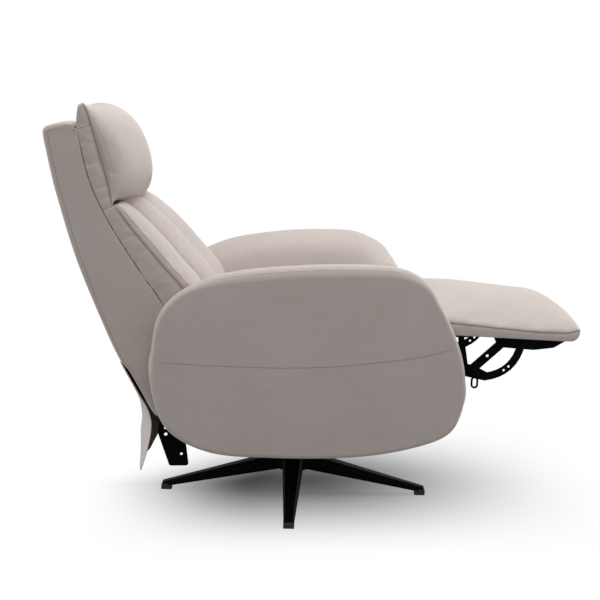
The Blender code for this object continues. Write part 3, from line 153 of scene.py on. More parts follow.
SURROUND_LIGHT = 0.52
FLOOR_REACH = 9.0
FLOOR_COLOUR = (0.36, 0.36, 0.36, 1.0)
FLOOR_ROUGHNESS = 0.9
FLOOR_GLOSS = 0.1
SHADOW_REAR = (0.12, 0.575)
SHADOW_REAR_SLANT = 0.77
SHADOW_SLANT_FROM = 0.095
SHADOW_AHEAD = (0.03, 0.82)
SHADOW_NEAR = (-0.13, 0.59)
SHADOW_BEYOND = (0.12, 0.78)

surround = bpy.data.worlds.new("surround")
surround.use_nodes = True
bpy.context.scene.world = surround
air = Shade(surround.node_tree)
ray = "ShaderNodeLightPath"
seen = air.node(ray, output="Is Camera Ray") + air.node(ray, output="Is Glossy Ray")
seen = (seen + air.node(ray, output="Is Transmission Ray")).ramped(0.0, 1.0)
backing = surround.node_tree.nodes["Background"]
backing.inputs["Color"].default_value = (1, 1, 1, 1)
feed(backing, "Strength", SURROUND_LIGHT + seen * (1 - SURROUND_LIGHT))

floor_mesh = bpy.data.meshes.new("floor")
floor_corners = [(FLOOR_REACH * x, FLOOR_REACH * y, 0) for x, y in ((-1, -1), (1, -1), (1, 1), (-1, 1))]
floor_mesh.from_pydata(floor_corners, [], [(0, 1, 2, 3)])
floor = bpy.data.objects.new("floor", floor_mesh)
bpy.context.scene.collection.objects.link(floor)
floor_finish, floor_shader, place = blank_finish("studio floor")
floor_shader.inputs["Base Color"].default_value = FLOOR_COLOUR
floor_shader.inputs["Roughness"].default_value = FLOOR_ROUGHNESS
floor_shader.inputs["Specular IOR Level"].default_value = FLOOR_GLOSS
along = place.node("ShaderNodeSeparateXYZ", inputs={0: place}, output="X")
across = place.node("ShaderNodeSeparateXYZ", inputs={0: place}, output="Y")
slant = across.maths("MAXIMUM", across - SHADOW_SLANT_FROM, 0.0) * SHADOW_REAR_SLANT
shaded = (1 - (slant - along).ramped(*SHADOW_REAR)) * (1 - along.ramped(*SHADOW_AHEAD))
shaded = shaded * (1 - (0.0 - across).ramped(*SHADOW_NEAR)) * (1 - across.ramped(*SHADOW_BEYOND))
white = place.node("ShaderNodeEmission", inputs={"Color": (1, 1, 1, 1), "Strength": 1.0})
far_white = (1 - shaded) * place.node(ray, output="Is Camera Ray")
floor_mix = place.node(
    "ShaderNodeMixShader",
    inputs={0: far_white, 1: Shade(floor_finish.node_tree, floor_shader.outputs[0]), 2: white},
)
feed(floor_finish.node_tree.nodes["Material Output"], "Surface", floor_mix)
floor_mesh.materials.append(floor_finish)


def light_box(name, place, aim, size, power):
    lamp = bpy.data.lights.new(name, "AREA")
    lamp.shape = "RECTANGLE"
    lamp.size, lamp.size_y = size
    lamp.energy = power
    box = bpy.data.objects.new(name, lamp)
    box.location = place
    box.rotation_mode = "QUATERNION"
    box.rotation_quaternion = (Vector(aim) - Vector(place)).to_track_quat("-Z", "Y")
    bpy.context.scene.collection.objects.link(box)


light_box("overhead_box", place=(0.25, -0.2, 3.4), aim=(0.0, 0.0, 0.3), size=(3.0, 2.6), power=60)
light_box("footrest_box", place=(3.2, 0.3, 1.8), aim=(-0.2, 0.0, 0.7), size=(1.8, 1.8), power=38)
light_box("rear_box", place=(-3.0, 0.1, 0.5), aim=(-0.4, 0.0, 0.2), size=(1.4, 1.0), power=15)

# Painted steel: the star base, the spindle, the swivel chassis and every plate of the mechanism
# are cut, folded or cast steel under black powder paint, with edges that the paint rounds a little.
PAINT_COLOUR = (0.0030, 0.0032, 0.0034, 1.0)
PAINT_WORN = (0.0080, 0.0084, 0.0086, 1.0)
PAINT_GLOSS = 0.04
PAINT_EDGE = 0.0007
FLAT_WITHIN = math.radians(1.5)
SHARP_ABOVE = math.radians(40)
PAINTED = (
    "spindle", "swivel_plate", "chassis_rail", "front_cross", "rear_cross", "side_plate", "back_upright",
    "back_top", "back_lumbar", "back_lever", "lever_cross", "lower_link", "footrest_drive", "upper_link",
    "curved_link", "footrest_bracket",
)

paint, shader, place = blank_finish("black powder paint")
peel = place.noise(scale=900.0, detail=2.0)
cloud = place.noise(scale=35.0, detail=3.0)
feed(shader, "Base Color", (cloud.ramped(0.45, 0.75) * 0.5).mixed(PAINT_COLOUR, PAINT_WORN))
feed(shader, "Roughness", 0.46 + cloud * 0.14)
shader.inputs["Specular IOR Level"].default_value = PAINT_GLOSS
feed(shader, "Normal", peel.bumped(strength=0.12, distance=0.0004))


def eased(name, finish, width=0):
    """Gives a CAD piece its finish, with its sharp edges rounded by a hair."""
    part = nodes[name]
    part.data.materials.clear()
    part.data.materials.append(finish)
    if width:
        flat = part.modifiers.new("flat faces", "DECIMATE")
        flat.decimate_type = "DISSOLVE"
        flat.angle_limit = FLAT_WITHIN
        edge = part.modifiers.new("eased edges", "BEVEL")
        edge.width = width
        edge.segments = 2
        edge.limit_method = "ANGLE"
        edge.angle_limit = SHARP_ABOVE


for name in nodes:
    if name.startswith(PAINTED):
        eased(name, paint, PAINT_EDGE)

# Bright steel: the sinuous springs under the seat and the drives' rods are drawn wire or ground bar,
# zinc plated.
ZINC_COLOUR = (0.56, 0.57, 0.58, 1.0)
ZINC_STAINED = (0.40, 0.41, 0.42, 1.0)
ROD_EDGE = 0.0004

zinc, shader, place = blank_finish("zinc plated steel")
stain = place.noise(scale=120.0, detail=4.0)
shader.inputs["Metallic"].default_value = 1.0
feed(shader, "Base Color", stain.mixed(ZINC_COLOUR, ZINC_STAINED))
feed(shader, "Roughness", 0.26 + stain * 0.2)
for name in nodes:
    if name.startswith("seat_spring"):
        eased(name, zinc)
for name in ("recline_rod", "footrest_rod"):
    eased(name, zinc, ROD_EDGE)

# Plywood: the two seat rails, the boards in the arms and the footrest board are birch plywood, sawn
# and sanded, with the grain along their length.
PLY_LIGHT = (0.56, 0.40, 0.24, 1.0)
PLY_DARK = (0.40, 0.26, 0.14, 1.0)
PLY_GRAIN = (60.0, 4.0, 60.0)
PLY_EDGE = 0.0006

plywood, shader, place = blank_finish("birch plywood")
stretched = place.node("ShaderNodeVectorMath", {"operation": "MULTIPLY"}, {0: place, 1: PLY_GRAIN})
grain = stretched.noise(scale=4.0, detail=5.0)
feed(shader, "Base Color", grain.ramped(0.3, 0.75).mixed(PLY_LIGHT, PLY_DARK))
feed(shader, "Roughness", 0.55 + grain * 0.2)
feed(shader, "Normal", grain.bumped(strength=0.2, distance=0.0004))
for name in ("seat_front_rail", "seat_rear_rail", "arm_board_left", "arm_board_right", "footrest_board"):
    eased(name, plywood, PLY_EDGE)

# Black plastic: the drives' housings, the control box, the leg feet and the switch plate are
# moulded, with a fine spark-eroded grain; the two push buttons are smooth grey.
PLASTIC_COLOUR = (0.018, 0.018, 0.019, 1.0)
PLASTIC_PALE = (0.026, 0.026, 0.027, 1.0)
PLASTIC_EDGE = 0.0008
BUTTON_COLOUR = (0.20, 0.20, 0.21, 1.0)
BUTTON_PALE = (0.24, 0.24, 0.25, 1.0)
BUTTON_EDGE = 0.0005

plastic, shader, place = blank_finish("moulded black plastic")
spark = place.noise(scale=1800.0, detail=2.0)
cloud = place.noise(scale=40.0, detail=2.0)
feed(shader, "Base Color", cloud.mixed(PLASTIC_COLOUR, PLASTIC_PALE))
feed(shader, "Roughness", 0.46 + cloud * 0.12)
feed(shader, "Normal", spark.bumped(strength=0.25, distance=0.0002))
button_grey, shader, place = blank_finish("button grey")
cloud = place.noise(scale=300.0, detail=2.0)
feed(shader, "Base Color", cloud.mixed(BUTTON_COLOUR, BUTTON_PALE))
feed(shader, "Roughness", 0.34 + cloud * 0.1)
for name in ("recline_motor", "footrest_motor", "control_box", "switch_bezel"):
    eased(name, plastic, PLASTIC_EDGE)
for name in ("recline_button", "footrest_button"):
    eased(name, button_grey, BUTTON_EDGE)

# Star base: a hub and four tapered legs, cast in one piece and painted black. A moulded black foot
# is pushed on under each leg's tip, and the chair stands on these.
LEG_REACH = 0.335
LEG_ROOT = 0.020
LEG_TURN = math.radians(-7.57)
LEG_WIDTH = (0.054, 0.0250)
LEG_DEPTH = (0.041, 0.0135)
LEG_TOP = (0.1080, 0.0200)
LEG_SECTION = (
    (-0.84, 0), (0.84, 0), (1, 0.14), (1, 0.62), (0.94, 0.82),
    (0.74, 1), (-0.74, 1), (-0.94, 0.82), (-1, 0.62), (-1, 0.14),
)
LEG_RINGS = 9
HUB_PROFILE = ((0.0630, 0.040), (0.0670, 0.044), (0.0890, 0.044), (0.0930, 0.039))
HUB_SIDES = 40
LEG_FOOT_HALF = 0.0132
LEG_FOOT_HEIGHT = 0.0165
LEG_FOOT_RINGS = ((-0.024, 0.92, 0.95), (-0.022, 1.0, 1.0), (0.0005, 1.0, 0.90), (0.0030, 0.90, 0.78))
CAST_EDGE = 0.0016
CAST_EDGE_ABOVE = math.radians(30)


def in_frame(points):
    """Points measured from the swivel axis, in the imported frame."""
    return np.asarray(points, float) + (swivel_x, 0.0, 0.0)


def new_piece(name, points, faces, finish):
    """A smooth mesh with its faces turned outward, in one finish."""
    mesh = bpy.data.meshes.new(name)
    mesh.from_pydata(np.asarray(points).tolist(), [], faces)
    bm = bmesh.new()
    bm.from_mesh(mesh)
    bmesh.ops.recalc_face_normals(bm, faces=bm.faces)
    bm.to_mesh(mesh)
    bm.free()
    mesh.materials.append(finish)
    mesh.shade_smooth()
    made = bpy.data.objects.new(name, mesh)
    bpy.context.scene.collection.objects.link(made)
    return made


def skinned(rings):
    """Points and faces of a closed skin through rings of equal count."""
    count = len(rings[0])
    last = len(rings) * count - count
    faces = [tuple(range(count)), tuple(range(last, last + count))]
    for i in range(len(rings) - 1):
        for k in range(count):
            n = (k + 1) % count
            a = i * count
            faces.append((a + k, a + n, a + count + n, a + count + k))
    return np.vstack(rings), faces


def fused(made, others):
    """Joins closed pieces into one casting and removes the loose ones."""
    for other in others:
        union = made.modifiers.new("fuse", "BOOLEAN")
        union.operation = "UNION"
        union.solver = "EXACT"
        union.object = other
    bpy.context.view_layer.update()
    ready = made.evaluated_get(bpy.context.evaluated_depsgraph_get())
    whole = bpy.data.meshes.new_from_object(ready)
    made.modifiers.clear()
    made.data = whole
    for other in others:
        bpy.data.objects.remove(other)


def bevelled(made):
    """Rounds the sharp edges of a casting or moulding."""
    edge = made.modifiers.new("eased edges", "BEVEL")
    edge.width = CAST_EDGE
    edge.segments = 3
    edge.limit_method = "ANGLE"
    edge.angle_limit = CAST_EDGE_ABOVE
    edge.harden_normals = True


around = np.linspace(0, math.tau, HUB_SIDES, endpoint=False)
hub_rings = []
for z, radius in HUB_PROFILE:
    ring = [radius * np.cos(around), radius * np.sin(around), np.full(HUB_SIDES, z)]
    hub_rings.append(np.stack(ring, axis=1))
hub_points, hub_faces = skinned(hub_rings)
star = new_piece("star_base_casting", in_frame(hub_points), hub_faces, paint)
legs = []
for quarter, word in enumerate(("front", "left", "rear", "right")):
    angle = LEG_TURN + quarter * math.pi / 2
    ahead = np.array((math.cos(angle), math.sin(angle), 0.0))
    aside = np.array((-ahead[1], ahead[0], 0.0))
    rings = []
    for share in np.linspace(0, 1, LEG_RINGS):
        half = np.interp(share, (0, 1), LEG_WIDTH) / 2
        depth = np.interp(share, (0, 1), LEG_DEPTH)
        top = np.interp(share, (0, 1), LEG_TOP)
        reach = LEG_ROOT + (LEG_REACH - LEG_ROOT) * share
        section = [(half * a, top - depth * (1 - b)) for a, b in LEG_SECTION]
        rings.append([ahead * reach + aside * y + (0, 0, z) for y, z in section])
    leg_points, leg_faces = skinned(rings)
    legs.append(new_piece(f"leg_{word}", in_frame(leg_points), leg_faces, paint))
    rings = []
    for past_tip, wide, high in LEG_FOOT_RINGS:
        reach = LEG_REACH + past_tip
        half = LEG_FOOT_HALF * wide
        top = LEG_FOOT_HEIGHT * high
        section = [(-half, 0.0), (half, 0.0), (half, top), (-half, top)]
        rings.append([ahead * reach + aside * y + (0, 0, z) for y, z in section])
    foot_points, foot_faces = skinned(rings)
    foot = new_piece(f"leg_foot_{word}", in_frame(foot_points), foot_faces, plastic)
    bevelled(foot)
    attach(foot, "base")
    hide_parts(f"floor_glide_{word}")
fused(star, legs)
bevelled(star)
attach(star, "base")
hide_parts("star_base")

# Link loops: a loop of bent wire, painted black, through the eye at the front of each lower link. It
# is where the helper spring hooks on.
LOOP_WIRE = 0.0026
LOOP_HALF = 0.0070
LOOP_REACH = 0.0110
LOOP_DROP = 0.001
LOOP_SIDES = 10
LOOP_BEND_POINTS = 25


def bent_wire(name, line, radius, finish):
    """A round wire along a line in the XZ plane, closed at its ends."""
    line = np.asarray(line, float)
    ahead = np.gradient(line, axis=0)
    ahead /= np.linalg.norm(ahead, axis=1)[:, None]
    rings = []
    for place, along in zip(line, ahead):
        side = np.array((0.0, 1.0, 0.0))
        up = np.cross(along, side)
        angles = np.linspace(0, math.tau, LOOP_SIDES, endpoint=False)[:, None]
        rings.append(place + radius * (np.cos(angles) * side + np.sin(angles) * up))
    return new_piece(name, *skinned(rings), finish)


for word in ("left", "right"):
    low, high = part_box(f"link_loop_{word}")
    x, y = (low[0] + high[0]) / 2, (low[1] + high[1]) / 2
    bend = np.linspace(0, math.pi, LOOP_BEND_POINTS)
    bottom = low[2] + LOOP_HALF - LOOP_DROP
    top = bottom + LOOP_REACH
    loop_line = [(x + LOOP_HALF, y, top)]
    loop_line += [(x + LOOP_HALF * math.cos(a), y, bottom - LOOP_HALF * math.sin(a)) for a in bend]
    loop_line += [(x - LOOP_HALF, y, top)]
    loop_line += [(x - LOOP_HALF * math.cos(a), y, top + LOOP_HALF * math.sin(a)) for a in bend[1:]]
    loop = bent_wire(f"link_loop_wire_{word}", loop_line, LOOP_WIRE, paint)
    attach(loop, "lower_link")
    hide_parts(f"link_loop_{word}")

# Arms: a padded bean of leather over a plywood board. A crowned band runs round between two side
# panels, sewn and top-stitched along the panels' edges, and the outer panel has one level seam.
LEATHER_COLOUR = (0.545, 0.482, 0.450, 1.0)
LEATHER_DEEP = (0.500, 0.438, 0.405, 1.0)
# Painted shade: the near-black brown that the leather is darkened to along its marked seams and channels.
CREASE_SHADE_COLOUR = (0.115, 0.092, 0.080, 1.0)
# Painted shade: dark tones for the lines laid in the mouths of seams, one for deep seams and a paler one
# for shallow seams.
SEAM_SHADOWED = ((0.10, 0.078, 0.066, 1.0), (0.17, 0.138, 0.122, 1.0))
SEAM_SHALLOW_SHADE = ((0.26, 0.220, 0.198, 1.0), (0.33, 0.285, 0.258, 1.0))
THREAD_COLOUR = (0.25, 0.208, 0.185, 1.0)
THREAD_PALE = (0.46, 0.40, 0.365, 1.0)
LEATHER_GLOSS = 0.42
# Painted shade: how far the leather is darkened along its marked creases.
CREASE_SHADE_STRENGTH = 0.85


def leather_finish(name, colour, deep):
    """Dyed grain leather, a little uneven in tone, darkened by painted shade along its marked creases."""
    made, shader, place = blank_finish(name)
    pebble = place.node("ShaderNodeTexVoronoi", {"feature": "F1"}, {"Vector": place, "Scale": 720.0})
    pores = place.noise(scale=1500.0, detail=2.0)
    cloud = place.noise(scale=7.0, detail=3.0)
    mottle = place.noise(scale=75.0, detail=3.0)
    crease = place.node("ShaderNodeAttribute", {"attribute_name": "crease"}, output="Fac")
    tone = (0.55 * cloud + 0.45 * mottle).ramped(0.25, 0.75).mixed(colour, deep)
    # Painted shade: the base colour darkens along the marked creases.
    feed(shader, "Base Color", (crease * CREASE_SHADE_STRENGTH).mixed(tone, CREASE_SHADE_COLOUR))
    feed(shader, "Roughness", 0.40 + mottle * 0.12 + pebble * 0.06)
    shader.inputs["Specular IOR Level"].default_value = LEATHER_GLOSS
    feed(shader, "Normal", (pebble + 0.35 * pores).bumped(strength=0.22, distance=0.0005))
    return made


def seam_shade_finish(name, dark, light):
    """Painted shade for the closed mouth of a seam, in a tone between dark and light."""
    made, shader, place = blank_finish(name)
    mottle = place.noise(scale=200.0, detail=2.0)
    feed(shader, "Base Color", mottle.mixed(dark, light))
    feed(shader, "Roughness", 0.6 + mottle * 0.2)
    return made


leather = leather_finish("greige leather", LEATHER_COLOUR, LEATHER_DEEP)
# Painted shade: finishes for the dark lines laid in the mouths of seams.
deep_seam_shade = seam_shade_finish("painted shade of deep seams", *SEAM_SHADOWED)
shallow_seam_shade = seam_shade_finish("painted shade of shallow seams", *SEAM_SHALLOW_SHADE)
thread, shader, place = blank_finish("sewing thread")
twist = place.noise(scale=1400.0, detail=1.0)
feed(shader, "Base Color", twist.mixed(THREAD_COLOUR, THREAD_PALE))
feed(shader, "Roughness", 0.55 + twist * 0.2)


CURVE_STEPS = 24


def smooth_line(points, shares=None, count=None, closed=False):
    """Points on a smooth curve through a few, at shares of its length or evenly spaced."""
    points = np.array(points, float)
    if closed:
        ends = np.vstack([points[-1], points, points[:2]])
    else:
        ends = np.vstack([2 * points[0] - points[1], points, 2 * points[-1] - points[-2]])
    t = np.linspace(0, 1, CURVE_STEPS, endpoint=False)[:, None]
    dense = []
    for a, b, c, d in zip(ends, ends[1:], ends[2:], ends[3:]):
        dense.append(0.5 * (2 * b + (c - a) * t + (2 * a - 5 * b + 4 * c - d) * t ** 2
                            + (3 * b - a - 3 * c + d) * t ** 3))
    dense = np.vstack([*dense, ends[-2]])
    reach = np.concatenate([[0], np.cumsum(np.linalg.norm(np.diff(dense, axis=0), axis=1))])
    if shares is None:
        shares = np.linspace(0, 1, count + 1)[:-1] if closed else np.linspace(0, 1, count)
    at = np.asarray(shares) * reach[-1]
    return np.stack([np.interp(at, reach, dense[:, k]) for k in range(dense.shape[1])], axis=1)


def points_of(made):
    flat = np.zeros(len(made.data.vertices) * 3, np.float32)
    made.data.vertices.foreach_get("co", flat)
    return flat.reshape(-1, 3).astype(float)


def set_points(made, points):
    made.data.vertices.foreach_set("co", np.asarray(points, np.float32).ravel())
    made.data.update()


def pressed(made, lines, depth, width, dark=1.0):
    """Draws a leather cover in along its seams, and marks them for the shade painted there."""
    if "crease" not in made.data.attributes:
        made.data.attributes.new("crease", "FLOAT", "POINT")
    marks = np.zeros(len(made.data.vertices), np.float32)
    made.data.attributes["crease"].data.foreach_get("value", marks)
    tree = KDTree(sum(len(line) for line in lines))
    number = 0
    for line in lines:
        for point in line:
            tree.insert(point, number)
            number += 1
    tree.balance()
    points = points_of(made)
    away = np.array([tree.find(p)[2] for p in points])
    normals = np.array([v.normal for v in made.data.vertices])
    points -= normals * (depth * np.exp(-((away / width) ** 2)))[:, None]
    set_points(made, points)
    # Painted shade: the mark sets how far the leather darkens near each line.
    marks = np.maximum(marks, (dark * np.exp(-((away / (0.5 * width)) ** 2))).astype(np.float32))
    made.data.attributes["crease"].data.foreach_set("value", marks)


def smoothed(made):
    rounding = made.modifiers.new("smooth leather", "SUBSURF")
    rounding.levels = rounding.render_levels = 1
    rounding.use_limit_surface = False


finished_covers = {}


def on_cover(made, line):
    """Points laid on a finished cover, and its outward direction at each."""
    if made.name not in finished_covers:
        ready = made.evaluated_get(bpy.context.evaluated_depsgraph_get())
        mesh = ready.to_mesh()
        finished_covers[made.name] = BVHTree.FromPolygons(
            [v.co[:] for v in mesh.vertices], [p.vertices[:] for p in mesh.polygons]
        )
        ready.to_mesh_clear()
    found = [finished_covers[made.name].find_nearest(Vector(p)) for p in line]
    return np.array([f[0] for f in found]), np.array([f[1] for f in found])


CORD_SIDES = 6
CORD_TAPER = 0.08
CORD_TIP = 0.25


def seam_shade_line(name, made, line, radius, sink=0.3, finish=deep_seam_shade):
    """Painted shade in the closed mouth of a seam: a fine dark line that dies away at its ends."""
    places, normals = on_cover(made, line)
    steps = np.arange(len(line))
    thin = np.clip(np.minimum(steps, steps[::-1]) / (CORD_TAPER * len(line)), CORD_TIP, 1)
    ahead = np.gradient(places, axis=0)
    ahead /= np.linalg.norm(ahead, axis=1)[:, None]
    side = np.cross(ahead, normals)
    side /= np.linalg.norm(side, axis=1)[:, None]
    angles = np.linspace(0, math.tau, CORD_SIDES, endpoint=False)[:, None]
    rings = []
    for place, normal, across, size in zip(places, normals, side, radius * thin):
        rings.append(place + size * ((np.sin(angles) - sink) * normal + np.cos(angles) * across))
    return new_piece(name, *skinned(rings), finish)


STITCH_PITCH = 0.0052
STITCH_LENGTH = 0.0037
STITCH_SIDES = 5
STITCH_PROFILE = ((-0.5, 0.35), (-0.32, 0.9), (0.0, 1.0), (0.32, 0.9), (0.5, 0.35))
STITCH_RISE = 0.55
STITCH_SINK = 0.25


def stitch_row(name, made, lines, radius=0.00045):
    """Rows of top stitches: short plump loops of thread lying on the leather."""
    angles = np.linspace(0, math.tau, STITCH_SIDES, endpoint=False)[:, None]
    points, faces = [], []
    for line in lines:
        run = np.linalg.norm(np.diff(line, axis=0), axis=1).sum()
        spaced = smooth_line(line, count=max(int(run / STITCH_PITCH), 2))
        places, normals = on_cover(made, spaced)
        ahead = np.gradient(places, axis=0)
        for place, normal, along in zip(places, normals, ahead):
            along = along / np.linalg.norm(along)
            across = np.cross(along, normal)
            across /= np.linalg.norm(across)
            rings = []
            for share, thick in STITCH_PROFILE:
                lift = radius * (STITCH_RISE * thick - STITCH_SINK)
                centre = place + along * STITCH_LENGTH * share + normal * lift
                rings.append(centre + radius * thick * (np.sin(angles) * normal + np.cos(angles) * across))
            loop_points, loop_faces = skinned(rings)
            faces += [tuple(len(points) + k for k in face) for face in loop_faces]
            points.extend(loop_points)
    return new_piece(name, points, faces, thread)


ARM_OUTER_Y = 0.390
ARM_THICKNESS = 0.125
ARM_LOW = (-0.375, 0.184)
ARM_HIGH = (0.360, 0.617)
ARM_SHAPES = {
    "right": (
        (0.830, 0.977), (0.770, 1.003), (0.690, 1.009), (0.532, 1.008), (0.356, 0.991), (0.229, 0.969),
        (0.162, 0.947), (0.103, 0.911), (0.049, 0.832), (0.019, 0.734), (0.006, 0.592), (0.002, 0.407),
        (0.052, 0.169), (0.184, 0.039), (0.376, 0.004), (0.627, 0.001), (0.818, 0.043), (0.954, 0.130),
        (1.000, 0.308), (0.999, 0.442), (0.988, 0.546), (0.968, 0.647), (0.944, 0.738), (0.917, 0.824),
        (0.880, 0.922),
    ),
    "left": (
        (0.830, 0.977), (0.770, 1.003), (0.690, 1.008), (0.532, 1.000), (0.356, 0.962), (0.235, 0.901),
        (0.165, 0.850), (0.102, 0.785), (0.052, 0.705), (0.019, 0.620), (0.005, 0.530), (0.002, 0.407),
        (0.052, 0.169), (0.184, 0.039), (0.376, 0.004), (0.627, 0.001), (0.818, 0.043), (0.954, 0.130),
        (1.000, 0.308), (0.999, 0.442), (0.992, 0.548), (0.979, 0.651), (0.958, 0.744), (0.931, 0.831),
        (0.890, 0.927),
    ),
}
ARM_CROWN = 0.018
ARM_EDGE = 0.011
ARM_ROLL = 0.130
ARM_CREST = 0.85
ARM_CROWN_MIDDLE = 0.003
ARM_CROWN_HALF = 0.288
ARM_CROWN_POWER = 4
ARM_CROWN_LEAST = 0.05
ARM_SWELL_POWER = 5
ARM_UPPER_FROM = 0.5
ARM_UPPER_RUN = 0.4
ARM_ROLL_FROM = 0.1
ARM_ROLL_FRONT = 0.35
ARM_ROLL_RUN = 0.8
ARM_PANEL_CROWN = 0.004
ARM_INNER_CROWN = 0.0015
ARM_PANEL_POWER = 2.5
ARM_PANEL_SHARES = (0.94, 0.86, 0.78, 0.70, 0.62, 0.54, 0.46, 0.38, 0.31, 0.24, 0.17, 0.11, 0.06, 0.025)
ARM_EDGE_RINGS = 9
ARM_BAND_RINGS = 13
ARM_POINTS = 176
ARM_MIDDLE_X = (-0.17, 0.15)
ARM_MIDDLE_Z = 0.4005
ARM_SEAM = (
    (-0.374, 0.418), (-0.306, 0.411), (-0.191, 0.405), (-0.076, 0.401), (0.040, 0.403), (0.156, 0.413),
    (0.250, 0.425), (0.330, 0.443), (0.355, 0.450),
)
ARM_SEAM_LEAN = math.radians(62)
ARM_STITCH_IN = 0.0050
STITCHED_ABOVE = 0.600
SEAM_POINTS = 380
EDGE_POINTS = 900


def edge_inset(distance, radius):
    """How far a rounded edge falls back, at a distance in from the edge."""
    short = np.clip(radius - distance, 0, radius)
    return radius - np.sqrt(radius ** 2 - short ** 2)


def arm_outline(shape):
    """The outline of an arm's panels, its outward and inward directions, and where it crowns and rolls."""
    line = smooth_line(shape, count=ARM_POINTS, closed=True)
    line = np.array(ARM_LOW) + line * (np.array(ARM_HIGH) - np.array(ARM_LOW))
    turn = np.roll(line, -1, axis=0) - np.roll(line, 1, axis=0)
    out = np.stack([-turn[:, 1], turn[:, 0]], axis=1)
    out /= np.linalg.norm(out, axis=1)[:, None]
    if np.sum((line - line.mean(axis=0)) * out) < 0:
        out = -out
    height = (line[:, 1] - ARM_LOW[1]) / (ARM_HIGH[1] - ARM_LOW[1])
    upper = np.clip((height - ARM_UPPER_FROM) / ARM_UPPER_RUN, 0, 1)
    from_middle = np.abs((line[:, 0] - ARM_CROWN_MIDDLE) / ARM_CROWN_HALF)
    crowned = upper * np.clip(1 - from_middle ** ARM_CROWN_POWER, 0, 1)
    rolled = upper * np.clip((out[:, 1] - ARM_ROLL_FROM - ARM_ROLL_FRONT * out[:, 0]) / ARM_ROLL_RUN, 0, 1)
    middle = np.stack([np.clip(line[:, 0], *ARM_MIDDLE_X), np.full(ARM_POINTS, ARM_MIDDLE_Z)], axis=1)
    inward = middle - line
    inward /= np.linalg.norm(inward, axis=1)[:, None]
    return line, out, inward, middle, crowned, rolled


def arm_ring(outline, depth):
    """An arm's outline at a depth in from its outer face: it crowns, then rolls over to the inner face."""
    line, out, inward, middle, crowned, rolled = outline
    share = 1 - depth / ARM_THICKNESS
    swell = ARM_CROWN * (1 - abs(2 * share - 1) ** ARM_SWELL_POWER)
    roll = ARM_ROLL * (1 - math.sqrt(1 - max(1 - share / ARM_CREST, 0) ** 2))
    push = swell * (ARM_CROWN_LEAST + (1 - ARM_CROWN_LEAST) * crowned)
    push -= edge_inset(min(depth, ARM_THICKNESS - depth), ARM_EDGE)
    return line + out * push[:, None] + inward * (roll * rolled)[:, None]


def arm_skin(outline):
    """An arm's rings and their depths, from the middle of the outer panel over to that of the inner one."""
    middle = outline[3]
    rounding = ARM_EDGE * (1 - np.cos(np.linspace(0, math.pi / 2, ARM_EDGE_RINGS)))
    band = np.linspace(ARM_EDGE, ARM_THICKNESS - ARM_EDGE, ARM_BAND_RINGS)[1:-1]
    outer, inner = arm_ring(outline, 0.0), arm_ring(outline, ARM_THICKNESS)
    rings = []
    for share in ARM_PANEL_SHARES:
        bulge = ARM_PANEL_CROWN * (1 - (1 - share) ** ARM_PANEL_POWER)
        rings.append((outer + (middle - outer) * share, -bulge))
    for depth in (*rounding, *band, *ARM_THICKNESS - rounding[::-1]):
        rings.append((arm_ring(outline, depth), depth))
    for share in ARM_PANEL_SHARES[::-1]:
        bulge = ARM_INNER_CROWN * (1 - (1 - share) ** ARM_PANEL_POWER)
        rings.append((inner + (middle - inner) * share, ARM_THICKNESS + bulge))
    return rings


def panel_faces(line, count):
    """The faces that close an arm's two panels, in strips from its nose to its rear."""
    faces = []
    nose = int(line[:, 0].argmax())
    half = ARM_POINTS // 2
    for first in (0, (count - 1) * ARM_POINTS):
        loop = [first + (nose + k) % ARM_POINTS for k in range(ARM_POINTS)]
        faces.append((loop[0], loop[1], loop[-1]))
        for k in range(1, half - 1):
            faces.append((loop[k], loop[k + 1], loop[-k - 1], loop[-k]))
        faces.append((loop[half - 1], loop[half], loop[half + 1]))
    return faces


def upper_run(outline, depth):
    """The part of an arm's outline along its top, from the rear to the front."""
    edge = smooth_line(arm_ring(outline, depth), count=EDGE_POINTS, closed=True)
    edge = np.roll(edge, -int(edge[:, 1].argmin()), axis=0)
    edge = edge[edge[:, 1] > STITCHED_ABOVE]
    return np.insert(edge, 1, ARM_OUTER_Y - depth, axis=1)


for side, word in ((1, "left"), (-1, "right")):
    outline = arm_outline(ARM_SHAPES[word])
    rings = []
    for ring, depth in arm_skin(outline):
        y = side * (ARM_OUTER_Y - depth)
        rings.append(np.stack([ring[:, 0], np.full(ARM_POINTS, y), ring[:, 1]], axis=1))
    points, faces = skinned(rings)
    faces = faces[2:] + panel_faces(outline[0], len(rings))
    arm = new_piece(f"arm_leather_{word}", in_frame(points), faces, leather)
    smoothed(arm)
    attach(arm, "chassis")
    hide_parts(f"arm_cover_{word}")
    level_seam = smooth_line(ARM_SEAM, count=SEAM_POINTS)
    level_seam = in_frame(np.insert(level_seam, 1, side * (ARM_OUTER_Y + ARM_PANEL_CROWN), axis=1))
    seam_depth = ARM_EDGE * (1 - math.cos(ARM_SEAM_LEAN))
    top_seam = in_frame(upper_run(outline, seam_depth) * (1, side, 1))
    stitches = in_frame(upper_run(outline, seam_depth + ARM_STITCH_IN) * (1, side, 1))
    # Painted shade: dark lines along the level seam and the top seam, beside the real stitching.
    trims = [
        seam_shade_line(f"arm_level_seam_shade_{word}", arm, level_seam, radius=0.0010, sink=0.5, finish=shallow_seam_shade),
        seam_shade_line(f"arm_top_seam_shade_{word}", arm, top_seam, radius=0.0006, sink=0.6, finish=shallow_seam_shade),
        stitch_row(f"arm_stitching_{word}", arm, [stitches]),
    ]
    for trim in trims:
        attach(trim, "chassis")


